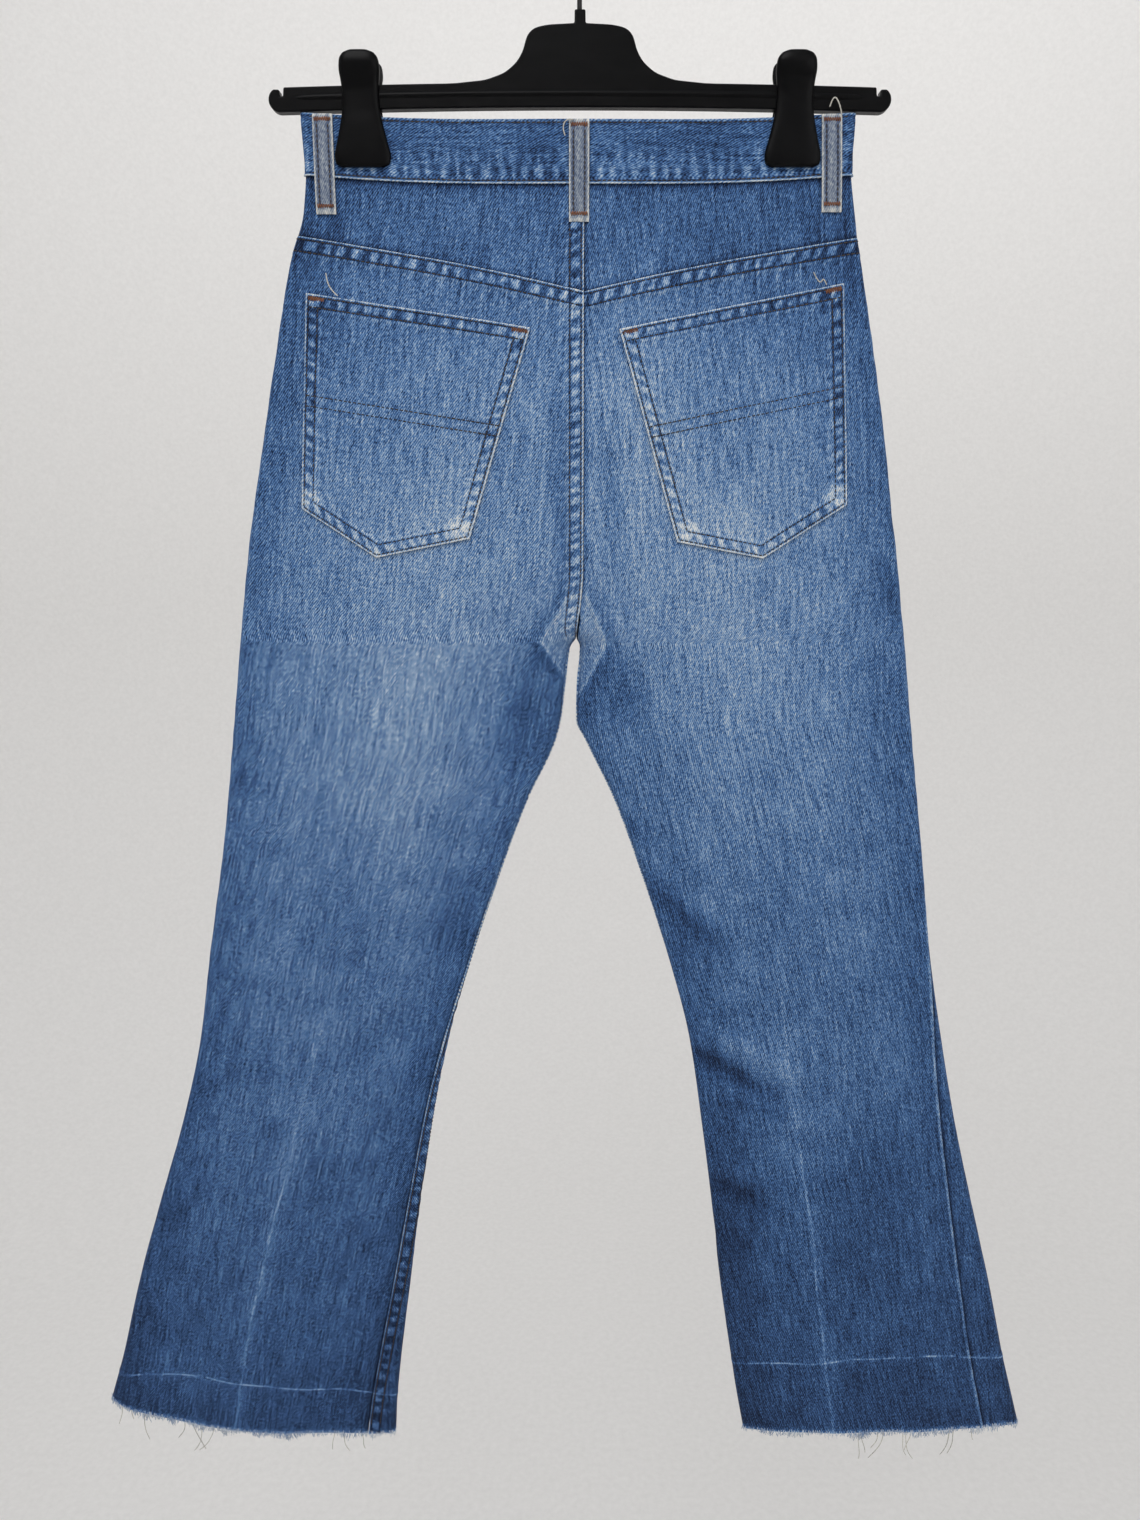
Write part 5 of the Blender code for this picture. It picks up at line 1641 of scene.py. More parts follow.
def sew_pocket(half, corners, seed):
    for distance in POCKET_ROWS_IN["side"]:
        outline = inset(corners, distance)
        for first, second in zip(outline[:-1], outline[1:]):
            share = np.linspace(0, 1, 45)
            x = first[0] + (second[0] - first[0]) * share
            z = first[1] + (second[1] - first[1]) * share
            sew(STITCHES, pocket_path(half, corners, seed, x, z))
    for distance in POCKET_ROWS_IN["mouth"] + PLAIN_ROWS:
        mouth_left, mouth_right = np.array(corners[0]), np.array(corners[1])
        direction = (mouth_right - mouth_left) / np.linalg.norm(mouth_right - mouth_left)
        normal = np.array([direction[1], -direction[0]])
        ends = []
        for top, low in ((mouth_left, corners[2]), (mouth_right, corners[4])):
            side = np.array(low) - top
            ends.append(top + side * distance / np.dot(side, normal))
        share = np.linspace(0.012, 0.988, 60)[:, None]
        x, z = (ends[0] + (ends[1] - ends[0]) * share).T
        sew(STITCHES, pocket_path(half, corners, seed, x, z))
    for corner, inward in ((corners[0], 1.0), (corners[1], -1.0)):
        x = np.array([corner[0] + inward * 6.6])
        slope = (corners[1][1] - corners[0][1]) / (corners[1][0] - corners[0][0])
        z = np.array([corner[1] + slope * inward * 6.6 - 2.9])
        point, normal = pocket_path(half, corners, seed, x, z)[0]
        bartack(point, (1.0, 0.0, slope), normal, 9.6, 3.3)


for pocket_name, (pocket_half, *pocket_corners) in POCKETS.items():
    CLOTH[pocket_name] = back_pocket(pocket_name, pocket_half, pocket_corners)


# Front pocket facings and the fly flap

FACING_OUT = -1.75
FACING_IN = -2.85
FACING_TUCK = 4.0


def facing(name, half):
    side = half.side
    z_rows = []
    a_rows = []
    reach = np.append(np.linspace(POCKET_MOUTH_START + 16.0, WAIST_HALF - 6.0, 26), 0.0)
    for step in np.linspace(0, 1, 22):
        x = side * reach.copy()
        for _ in range(6):
            top = waist_seam(x, False) - HALF_SEAM
            low = front_panel_top(x) - FACING_TUCK
            z = top * (1 - step) + low * step
            a = half.place_of_x(z, x, False)
            a[-1] = half.round_place(z[-1:], np.array([-HALF_SEAM]))[0]
            x[-1] = half.read(half.x, z[-1:], a[-1:])[0]
        z_rows.append(z)
        a_rows.append(a)
    z = np.array(z_rows)
    a = np.array(a_rows)
    x = half.read(half.x, z, a)
    # A little darker throughout, with painted shade beside the pocket mouth's edge, which lies over the
    # facing.
    tone = fade_and_shade(half, z, a, x, False) - 0.05 - 0.1 * bump(z - front_panel_top(x), 5.0)
    return half_cloth(name, half, z, a, (FACING_OUT, FACING_IN), tone)


CLOTH["front_pocket_facing_left"] = facing("front_pocket_facing_left", LEFT)
CLOTH["front_pocket_facing_right"] = facing("front_pocket_facing_right", RIGHT)


def sew_pocket_mouths():
    for half in (LEFT, RIGHT):
        for row in FRONT_ROWS:
            x = half.side * np.linspace(POCKET_MOUTH_START + 5.0, 172.0, 60)
            z = front_panel_top(x) - HALF_SEAM - row
            sew_line(half, False, x, z)


sew_pocket_mouths()

FLY_WIDTH = 38.0
FLY_LENGTH = 150.0
FLY_THICK = 1.0
FLY_CURVE_START = 0.72
FLY_EDGE_X = SEAT_SEAM_X - HALF_SEAM - 0.2


def fly_taper(down):
    round_in = np.clip((down - FLY_CURVE_START) / (1 - FLY_CURVE_START), 0, 1)
    return np.sqrt(np.clip(1 - round_in ** 2, 0.03, 1))


def fly_flap():
    across = np.array([0, 0.01, 0.03, 0.06, 0.1, 0.15] + list(np.linspace(0.2, 0.86, 26))
                      + [0.9, 0.93, 0.95, 0.97, 0.985, 1.0])[None, :]
    down = np.linspace(0, 1, 90)[:, None]
    x = FLY_EDGE_X - FLY_WIDTH * across * fly_taper(down)
    z = waist_seam(x, False) - SEAM_GAP - FLY_LENGTH * down
    a = LEFT.place_of_x(z, x, False)
    base_lift = relief(LEFT, False, z, a)[0]
    edge_out = FLY_WIDTH * (1 - across) * fly_taper(down)
    edge_in = FLY_WIDTH * across * fly_taper(down)
    tone = fade_and_shade(LEFT, z, a, x, False)
    tone = tone + 0.22 * bump(edge_in, 1.3) + 0.14 * bump(edge_out, 1.2)
    wave = pucker(z + 0.3 * x, 9.0, 3.3)
    tone = tone + 0.05 * wave * (bump(edge_out - 5.0, 3.4) + bump(edge_in - 5.0, 3.4))
    lift = base_lift + PATCH_GAP + 0.25 * wave * bump(edge_out - 5.0, 3.0)
    made = half_cloth("fly_flap", LEFT, z, a, (lift + FLY_THICK, lift), tone)
    for inset_by in FRONT_ROWS:
        share = np.linspace(0.02, 0.97, 90)
        x = FLY_EDGE_X - (FLY_WIDTH - inset_by) * fly_taper(share)
        z = waist_seam(x, False) - SEAM_GAP - (FLY_LENGTH - inset_by) * share
        a = LEFT.place_of_x(z, x, False)
        lift = relief(LEFT, False, z, a)[0] + PATCH_GAP + FLY_THICK
        sew(STITCHES, surface_path(LEFT, z, a, lift))
    return made


CLOTH["fly_flap"] = fly_flap()


# Waistband

UNDERLAP_START_X = 22.0
UNDERLAP_X = -22.0
UNDERLAP_DROP = BAND_IN - BAND_OUT - SEAM_GAP - 0.2
BAND_STEP = 1.9
BAND_TONE = -0.022
# Keeps the wear of the front from repeating the back's
FRONT_SHIFT = 400.0


def band_stretches():
    """(half, what the values are, back, values, drop) going round from the fly."""
    def run(start, end):
        return np.linspace(start, end, max(2, int(abs(end - start) / BAND_STEP)))

    folds = np.array([-5.0, -3.9, -2.6, -1.3, 0.0, 1.3, 2.6, 3.9, 5.0])
    return [
        (RIGHT, "x", False, np.array([13.0, 12.7, 12.2, 11.6, 10.8, 9.6, 8.0, 6.0, 4.6]), 0.0),
        (LEFT, "x", False, run(1.6, -164.0), 0.0),
        (LEFT, "round the fold", None, folds, 0.0),
        (LEFT, "x", True, run(-164.0, 2.0), 0.0),
        (RIGHT, "x", True, run(4.0, 164.0), 0.0),
        (RIGHT, "round the fold", None, -folds, 0.0),
        (RIGHT, "x", False, run(164.0, 60.0), 0.0),
        (RIGHT, "x", False, run(58.0, UNDERLAP_START_X + 2), 1.0),
        (RIGHT, "x", False, run(UNDERLAP_START_X, 4.0), 2.0),
        (LEFT, "x", False, run(2.0, UNDERLAP_X), 2.0),
    ]


BAND_HEIGHTS = (
    0.0, 0.012, 0.03, 0.05, 0.07, 0.1, 0.15, 0.21, 0.28, 0.35, 0.42, 0.49, 0.56, 0.63, 0.69, 0.75,
    0.8, 0.85, 0.89, 0.92, 0.945, 0.965, 0.985, 1.0,
)


def band_row(step):
    """Stretches of one row round the band: half, z, a, whether on the back, how far sunk."""
    made = []
    for half, how, back, values, drop in band_stretches():
        def line(x, on_back):
            return waist_top(x, on_back) * (1 - step) + (waist_seam(x, on_back) + HALF_SEAM) * step
        if how == "x":
            z = line(values, back)
            a = half.place_of_x(z, values, back)
            on_back = np.full(values.shape, back)
        else:
            z = np.zeros(values.shape)
            a = np.zeros(values.shape)
            on_back = values > 0
            for is_back in (True, False):
                chosen = on_back == is_back
                if chosen.any():
                    columns = [(0.0, abs(value)) for value in values[chosen]]
                    z[chosen], a[chosen] = settle(
                        half, lambda x: line(x, is_back), columns, is_back, -140.0)
        if drop == 1.0:
            sunk = ease(values, 58.0, UNDERLAP_START_X) * UNDERLAP_DROP
        else:
            sunk = np.full(values.shape, UNDERLAP_DROP if drop == 2.0 else 0.0)
        made.append((half, z, a, on_back, sunk))
    return made


def band_relief(x, d_top, d_low):
    """Lift and tone of the band at distances below its top and over its seam."""
    wave = pucker(x, 8.6, 1.7)
    other = pucker(x + 3.0, 8.0, 4.4)
    rows = bump(d_low - 6.0, 4.2) * ease(d_low, 1.6, 3.0)
    upper = bump(d_low - 15.0, 4.8)
    groove = bump(d_low - 1.7, 0.6) + bump(d_top - 1.9, 0.6)
    lift = 0.42 * wave * rows + 0.24 * other * upper - 0.3 * groove
    lift = lift + 0.5 * bump(d_low, 1.3)
    patches = ease(wave, -0.2, 0.4)
    tone = (0.26 * patches - 0.06) * rows + (0.15 * ease(other, -0.1, 0.5) - 0.03) * upper
    tone = tone + 0.46 * bump(d_low, 0.95) + 0.20 * bump(d_top, 1.2) - 0.14 * groove
    tone = tone + 0.03 * bump(d_top - 5.0, 4.0) * pucker(x, 8.3, 2.2)
    return lift, tone


def waistband():
    outer, inner, tones, grains = [], [], [], []
    for step in BAND_HEIGHTS:
        outer_row, inner_row, tone_row = [], [], []
        for half, z, a, on_back, sunk in band_row(step):
            x = half.read(half.x, z, a)
            top = waist_top(x, True) * on_back + waist_top(x, False) * ~on_back
            low = waist_seam(x, True) * on_back + waist_seam(x, False) * ~on_back
            lift, tone = band_relief(x + FRONT_SHIFT * ~on_back, top - z, z - low)
            lift = np.where(sunk < -0.5, 0.0, lift)
            points = half.points(z, a, BAND_OUT + lift + sunk)
            points[:, 2] = z
            outer_row.append(points)
            points = half.points(z, a, BAND_IN + sunk)
            points[:, 2] = z
            inner_row.append(points)
            tone_row.append(smooth(z, FADE_AND_SHADE_DOWN, 1) + tone + 0.02 * np.sin(x / 17.0))
        outer_row = np.concatenate(outer_row)
        outer.append(outer_row)
        inner.append(np.concatenate(inner_row))
        tones.append(np.concatenate(tone_row))
        grains.append(np.stack([outer_row[:, 2], lengths_along(outer_row)], axis=-1))
    end_light = np.zeros(len(tones[0]))
    end_light[:5] = (0.3, 0.25, 0.16, 0.08, 0.03)
    tones = np.array(tones) + end_light + BAND_TONE
    return cloth("waistband", np.array(outer), np.array(inner), tones, np.array(grains), thin=2)


CLOTH["waistband"] = waistband()


def sew_band():
    for from_low, from_top in ((1.7, None), (None, 1.9)):
        for half, back, start, end in ((LEFT, True, 1.5, -167.0), (RIGHT, True, 4.5, 166.0),
                                       (LEFT, False, 1.5, -167.0), (RIGHT, False, 24.0, 166.0)):
            x = np.linspace(start, end, 120)
            if from_top is None:
                z = waist_seam(x, back) + HALF_SEAM + from_low
            else:
                z = waist_top(x, back) - from_top
            a = half.place_of_x(z, x, back)
            place = x if back else x + FRONT_SHIFT
            lift = BAND_OUT + band_relief(place, waist_top(x, back) - z, z - waist_seam(x, back))[0]
            sew(STITCHES, surface_path(half, z, a, lift))


sew_band()


# Belt loops

LOOP_HALF = 6.2
LOOP_THICK = 1.5
LOOP_ROWS = (
    # share of the length, gap under the loop
    (0.0, 1.4),
    (0.1, 1.8),
    (0.6, 1.8),
    (0.88, 1.2),
    (1.0, 0.5),
)
LOOPS = {
    # name: back, x at the top, x at the bottom, top, bottom
    "belt_loop_back_left": (True, -158.4, -158.6, -124.6, -181.7),
    "belt_loop_back_right": (True, 155.4, 158.2, -124.8, -180.5),
    "belt_loop_back_centre": (True, -0.2, -0.2, -129.6, -188.0),
    "belt_loop_front_left": (False, -88.0, -89.0, -133.0, -190.0),
    "belt_loop_front_right": (False, 88.0, 89.0, -133.0, -190.0),
}
LOOP_COLUMNS = (-1.0, -0.97, -0.9, -0.8, -0.66, -0.52, -0.38, -0.2, 0.0, 0.2, 0.38, 0.52, 0.66, 0.8, 0.9,
                0.97, 1.0)
LOOP_STITCHES = 0.56


def loop_gap(share):
    return np.interp(share, [row[0] for row in LOOP_ROWS], [row[1] for row in LOOP_ROWS])


def loop_point(back, x, z, lift):
    """A point over the back or front near the centre, on the half that holds x."""
    half = LEFT if x < SEAT_SEAM_X else RIGHT
    z = np.array([z])
    a = half.place_of_x(z, np.array([x]), back)
    normal = half.read(half.normal, z, a)[0]
    if abs(x) < 30.0:
        normal = np.array([0.0, -1.0 if back else 1.0, 0.0])
    return half.points(z, a, 0.0)[0] + lift * normal, normal


def belt_loop(name, back, x_top, x_low, z_top, z_low):
    shares = np.array([0, 0.006, 0.015, 0.03] + list(np.linspace(0.05, 0.95, 44)) + [0.97, 0.985, 0.994, 1.0])
    gaps = loop_gap(shares)
    outer, inner, tones, grains = [], [], [], []
    for share, gap in zip(shares, gaps):
        outer_row, inner_row, tone_row, grain_row = [], [], [], []
        for c in LOOP_COLUMNS:
            x = x_top * (1 - share) + x_low * share + c * LOOP_HALF
            z = z_top * (1 - share) + z_low * share
            rounding = 0.5 * (1 - math.sqrt(max(0.0, 1 - abs(c) ** 7)))
            ends = 0.5 * float(bump(share, 0.012) + bump(1 - share, 0.012))
            crown = 0.35 * math.cos(c * math.pi / 2) - 0.25 * float(bump(abs(c) - LOOP_STITCHES, 0.1))
            point, normal = loop_point(back, x, z, gap + LOOP_THICK + crown - rounding - ends)
            outer_row.append(point)
            inner_row.append(loop_point(back, x, z, gap)[0])
            dark = float(bump(abs(c) - LOOP_STITCHES, 0.12))
            edge = float(bump(1 - abs(c), 0.13))
            tip = float(bump(share, 0.03) + bump(1 - share, 0.05))
            mottle = 0.03 * math.sin(z * 1.4 + x) + 0.03 * math.sin(z * 0.6 + 2 * x)
            tone_row.append(0.56 + 0.36 * edge + 0.26 * tip - 0.20 * dark + mottle)
            grain_row.append((c * LOOP_HALF + 37.0, z))
        outer.append(outer_row)
        inner.append(inner_row)
        tones.append(tone_row)
        grains.append(grain_row)
    made = cloth(name, np.array(outer), np.array(inner), np.array(tones), np.array(grains), 2,
                 "denim_light")
    for sign in (-1, 1):
        path = []
        for share in np.linspace(0.1, 0.9, 40):
            gap = loop_gap(share)
            x = x_top * (1 - share) + x_low * share + sign * LOOP_STITCHES * LOOP_HALF
            z = z_top * (1 - share) + z_low * share
            path.append(loop_point(back, x, z, gap + LOOP_THICK + 0.02))
        sew(STITCHES, path, 2.9)
    length = z_top - z_low
    for share in (3.2 / length, 1 - 4.6 / length):
        gap = loop_gap(share)
        x = x_top * (1 - share) + x_low * share
        point, normal = loop_point(back, x, z_top * (1 - share) + z_low * share, gap + LOOP_THICK + 0.3)
        bartack(point, (1.0, 0.0, 0.0), normal, 9.8, 2.7)
    return made


for loop_name, loop in LOOPS.items():
    CLOTH[loop_name] = belt_loop(loop_name, *loop)

STITCHES.make()
TACKS.make()


# Raw hems

SHORT_FRAY = (2.6, 6.6)
LONG_FRAY = {
    # leg side: (place round the hem from the inner end of the back, length, drift)
    -1: ((0.02, 16.0, 3.0), (0.08, 18.0, 4.0), (0.11, 17.0, -3.0), (0.50, 22.0, -14.0), (0.54, 25.0, -8.0),
         (0.57, 25.0, 9.0), (0.60, 16.0, -5.0), (0.74, 26.0, 2.0), (0.90, 30.0, -3.0), (0.92, 24.0, 5.0),
         (0.985, 22.0, -2.0)),
    1: ((0.53, 26.0, 1.0), (0.54, 20.0, 4.0), (0.60, 16.0, -4.0), (0.62, 26.0, -10.0), (0.69, 23.0, 4.0),
        (0.70, 26.0, 7.0), (0.72, 18.0, -5.0), (0.87, 25.0, -6.0), (0.885, 24.0, -3.0), (0.95, 12.0, 4.0)),
}
FRAY_PER_MM = 3.0
FRAY_SIDES = 3
FRAY_RADII = (0.18, 0.32)
LONG_FRAY_RADIUS = 0.33
FRAY_LOW = -1109.5
LOOSE = Threads("loose_ends", LOOSE_MATERIAL)


def hem_fray(name, side):
    draw = random.Random(40 + side)
    threads = Threads(name + "_threads", FRAY_MATERIAL)
    side_name = "left" if side < 0 else "right"
    rings = []
    for panel_name in ("back_panel_", "front_panel_"):
        half, z, a = HEMS[panel_name + side_name]
        lift = relief(half, panel_name == "back_panel_", z, a)[0]
        rings.append((half.points(z, a, lift - DENIM / 2), half.read(half.normal, z, a)))
    for points, normals in rings:
        reach = lengths_along(points)
        for _ in range(int(reach[-1] * FRAY_PER_MM)):
            at = draw.uniform(0, reach[-1])
            root = between(points, reach, at)
            normal = between(normals, reach, at)
            along = between(points, reach, at + 1) - root
            along /= np.linalg.norm(along) + TINY
            clump = 0.7 + 0.5 * math.sin(at / 5.3 + side) * math.sin(at / 13.0)
            length = draw.uniform(*SHORT_FRAY) * clump
            drift = draw.uniform(-0.5, 0.5) * length
            out = draw.uniform(-0.45, 0.45) + 0.1
            start = root + normal * draw.uniform(-0.2, 1.0) + np.array([0, 0, draw.uniform(0.3, 3.0)])
            middle = start + along * drift * 0.3 + normal * out * 0.5 - np.array([0, 0, length * 0.5 + 0.6])
            end = start + along * drift + normal * out - np.array([0, 0, length + 0.9])
            threads.add([start, middle, end], draw.uniform(*FRAY_RADII), normal, 0.7, FRAY_SIDES)
    points, normals = rings[0]
    reach = lengths_along(points)
    for share, length, drift in LONG_FRAY[side]:
        root = between(points, reach, (1 - share) * reach[-1])
        length = min(length, root[2] - FRAY_LOW)
        path = []
        for t in np.linspace(0, 1, 12):
            wave = 1.2 * math.sin(5 * t + share * 20) * t
            path.append(root + np.array([drift * t * t + wave, -0.4 * t, 0.8 - length * t]))
        LOOSE.add(path, LONG_FRAY_RADIUS, None, 0.6, FRAY_SIDES)
    threads.make((name,))


hem_fray("hem_fray_left", -1)
hem_fray("hem_fray_right", 1)


# A few loose ends of thread

LOOSE_ENDS = (
    # x, z and lift at four places along each thread
    ((-3.0, -130.5, 3.6), (-8.0, -130.0, 4.4), (-10.5, -134.5, 4.2), (-8.5, -140.0, 3.2)),
    ((153.0, -122.5, 4.0), (155.5, -115.0, 5.0), (159.0, -119.0, 5.0), (161.5, -127.0, 4.0)),
    ((-152.0, -231.0, 2.6), (-156.5, -227.0, 3.4), (-159.0, -222.0, 4.2), (-159.6, -216.0, 4.6)),
    ((157.0, -224.5, 2.6), (154.0, -219.0, 3.4), (152.0, -224.0, 4.0), (146.5, -215.0, 4.6)),
)
LOOSE_END_RADIUS = 0.4


def loose_ends():
    for rows in LOOSE_ENDS:
        table = np.array(rows)
        share = np.linspace(0, len(rows) - 1, 25)
        places = [np.interp(share, range(len(rows)), table[:, k]) for k in range(3)]
        softened = [np.convolve(np.pad(p, 4, mode="edge"), np.ones(9) / 9, mode="valid") for p in places]
        path = []
        for x, z, lift in zip(*softened):
            path.append(loop_point(True, x, z, lift)[0])
            path[-1][2] = z
        LOOSE.add(path, LOOSE_END_RADIUS, None, 0.5)
    LOOSE.make()


loose_ends()


# Waist button

BUTTON_X = -2.0
BUTTON_LIFT = BAND_OUT + SEAM_GAP + 0.1
BUTTON_PROFILE = (
    # radius, height over the band
    (0.0, 0.0),
    (3.0, 0.0),
    (3.0, 1.2),
    (7.4, 1.2),
    (8.2, 1.35),
    (8.5, 1.8),
    (8.3, 2.4),
    (7.7, 2.85),
    (7.1, 3.0),
    (6.5, 2.9),
    (6.0, 2.75),
    (5.2, 2.9),
    (3.6, 3.2),
    (1.8, 3.36),
    (0.0, 3.4),
)


def waist_button():
    x = np.array([BUTTON_X])
    z = (waist_top(x, False) + waist_seam(x, False)) / 2
    centre = loop_point(False, BUTTON_X, float(z[0]), BUTTON_LIFT)[0]
    work = bmesh.new()
    vertices = [work.verts.new(((centre + np.array([radius, height, 0.0])) * MM).tolist())
                for radius, height in BUTTON_PROFILE]
    for first, second in zip(vertices[:-1], vertices[1:]):
        work.edges.new((first, second))
    bmesh.ops.spin(work, geom=work.verts[:] + work.edges[:], cent=(centre * MM).tolist(), axis=(0, 1, 0),
                   angle=2 * math.pi, steps=48)
    bmesh.ops.remove_doubles(work, verts=work.verts, dist=1e-6)
    bmesh.ops.recalc_face_normals(work, faces=work.faces)
    mesh = bpy.data.meshes.new("waist_button_fine")
    work.to_mesh(mesh)
    work.free()
    mesh.shade_smooth()
    link("waist_button_fine", mesh, BUTTON_MATERIAL, ("waist_button",))


waist_button()


# Hanger

BAR_HALF_LENGTH = 191.5
BAR_LOW = -120.7
BAR_HEIGHT = 13.8
BAR_ARCH = 3.0
BAR_HALF_THICK = 4.0
SLOT_X = 182.5
SLOT_WIDTH = 1.8
SLOT_DEPTH = 5.0
CROWN_SHIFT = 0.3
CROWN = (
    # x, z of the right half, from the socket outwards
    (3.3, -67.0),
    (3.4, -74.4),
    (20.0, -75.2),
    (28.5, -77.0),
    (32.5, -81.0),
    (34.5, -89.0),
    (38.5, -95.5),
    (46.0, -101.5),
    (58.0, -105.5),
    (76.0, -107.2),
)


def bar_low(x):
    return BAR_LOW - BAR_ARCH * (x / BAR_HALF_LENGTH) ** 2


def hanger_outline():
    """The right half of the outline, from the top centre to the low centre."""
    half = [CROWN[0], CROWN[1]]
    curve = np.array(CROWN[1:])
    reach = np.append(0, np.cumsum(np.hypot(*np.diff(curve, axis=0).T)))
    fine = np.linspace(0, reach[-1], 40)[1:]
    xs = np.interp(fine, reach, curve[:, 0])
    zs = np.interp(fine, reach, curve[:, 1])
    for _ in range(2):
        xs[1:-1] = (xs[:-2] + 2 * xs[1:-1] + xs[2:]) / 4
        zs[1:-1] = (zs[:-2] + 2 * zs[1:-1] + zs[2:]) / 4
    half += list(zip(xs, zs))
    for x in np.linspace(82.0, SLOT_X - 0.5, 16):
        half.append((x, bar_low(x) + BAR_HEIGHT))
    slot_top = bar_low(SLOT_X) + BAR_HEIGHT
    half.append((SLOT_X, slot_top - SLOT_DEPTH))
    half.append((SLOT_X + SLOT_WIDTH, slot_top - SLOT_DEPTH))
    half.append((SLOT_X + SLOT_WIDTH + 0.3, slot_top - 1.2))
    knob_x = BAR_HALF_LENGTH - BAR_HEIGHT / 2
    knob_z = bar_low(knob_x) + BAR_HEIGHT / 2
    for degrees in range(58, -91, -12):
        turn = math.radians(degrees)
        radius = BAR_HEIGHT / 2
        half.append((knob_x + radius * math.cos(turn), knob_z + radius * math.sin(turn)))
    for x in np.linspace(176.0, 0.0, 16):
        half.append((x, bar_low(x)))
    return half


def soften(made, bevel):
    edge = made.modifiers.new("soft_edges", "BEVEL")
    edge.width = bevel * MM
    edge.segments = 3
    edge.limit_method = "ANGLE"
    edge.angle_limit = math.radians(35)
    edge.harden_normals = False


def hanger_bar():
    half = hanger_outline()
    outline = half + [(-x, z) for x, z in reversed(half[:-1])]
    count = len(outline)
    front = [((x + CROWN_SHIFT) * MM, -BAR_HALF_THICK * MM, z * MM) for x, z in outline]
    rear = [((x + CROWN_SHIFT) * MM, BAR_HALF_THICK * MM, z * MM) for x, z in outline]
    faces = [tuple(range(count)), tuple(range(2 * count - 1, count - 1, -1))]
    for i in range(count):
        j = (i + 1) % count
        faces.append((j, i, count + i, count + j))
    mesh = bpy.data.meshes.new("hanger_bar_fine")
    mesh.from_pydata(front + rear, [], faces)
    mesh.shade_smooth()
    mesh.set_sharp_from_angle(angle=math.radians(50))
    soften(link("hanger_bar_fine", mesh, PLASTIC_MATERIAL, ("hanger_bar",)), 0.9)
    rib_points = []
    rib_faces = []
    xs = np.linspace(-176.0, 176.0, 60)
    profile = ((-1.9, 0.0), (-1.3, 0.5), (0.0, 0.85), (1.3, 0.5), (1.9, 0.0))
    for sign in (-1, 1):
        start = len(rib_points)
        for x in xs:
            ends = math.sqrt(max(0.0, 1 - (abs(x) / 176.0) ** 30))
            for up, out in profile:
                z = bar_low(x) + BAR_HEIGHT * 0.56 + up * ends
                rib_points.append((x * MM, sign * (BAR_HALF_THICK - 0.05 + out * ends) * MM, z * MM))
        for i in range(len(xs) - 1):
            for k in range(4):
                a = start + i * 5 + k
                face = (a, a + 1, a + 6, a + 5)
                rib_faces.append(face if sign > 0 else face[::-1])
    mesh = bpy.data.meshes.new("hanger_rib")
    mesh.from_pydata(rib_points, [], rib_faces)
    mesh.shade_smooth()
    link("hanger_rib", mesh, PLASTIC_MATERIAL)


hanger_bar()

WIRE_RADIUS = 1.5
WIRE_SIDES = 20
HOOK_RADIUS = 19.0
STEM_LOW = -68.5
STEM_TOP = -46.0
BEND_START = -38
BEND_END = 200


def hanger_hook():
    path = [(0.0, 0.0, float(z)) for z in np.linspace(STEM_LOW, STEM_TOP, 8)]
    centre_z = WIRE_RADIUS - HOOK_RADIUS
    join = math.radians(BEND_START)
    end_x = HOOK_RADIUS * math.cos(join)
    end_z = centre_z + HOOK_RADIUS * math.sin(join)
    for t in np.linspace(0.1, 0.9, 9):
        lean = t * t * (3 - 2 * t)
        path.append((end_x * lean, 0.0, STEM_TOP + (end_z - STEM_TOP) * t))
    for degrees in range(BEND_START, BEND_END, 5):
        turn = math.radians(degrees)
        path.append((HOOK_RADIUS * math.cos(turn), 0.0, centre_z + HOOK_RADIUS * math.sin(turn)))
    wire = Threads("hanger_hook_fine", WIRE_MATERIAL, "hook_wire")
    path = np.array(path)
    for _ in range(3):
        path[1:-1] = (path[:-2] + 2 * path[1:-1] + path[2:]) / 4
    wire.add(path, WIRE_RADIUS, (0, 1, 0), 0.86, WIRE_SIDES)
    wire.make(("hanger_hook",))


hanger_hook()


# Clips

JAW_ROWS = (
    # z, half width, inner face, outer face
    (-91.0, 6.0, 8.8, 10.6),
    (-92.4, 9.6, 8.2, 11.0),
    (-96.0, 12.0, 7.2, 11.2),
    (-101.0, 12.5, 6.0, 10.6),
    (-106.0, 11.9, 4.8, 9.4),
    (-113.0, 11.2, 4.6, 8.4),
    (-120.0, 11.4, 4.6, 8.2),
    (-128.0, 12.6, 4.6, 8.0),
    (-139.0, 15.2, 4.6, 7.8),
    (-149.0, 17.4, 4.6, 7.6),
    (-153.0, 16.6, 4.6, 7.4),
    (-155.0, 13.0, 4.6, 7.0),
)
CLIPS = {
    # name: x
    "clip_left": -134.2,
    "clip_right": 132.2,
}


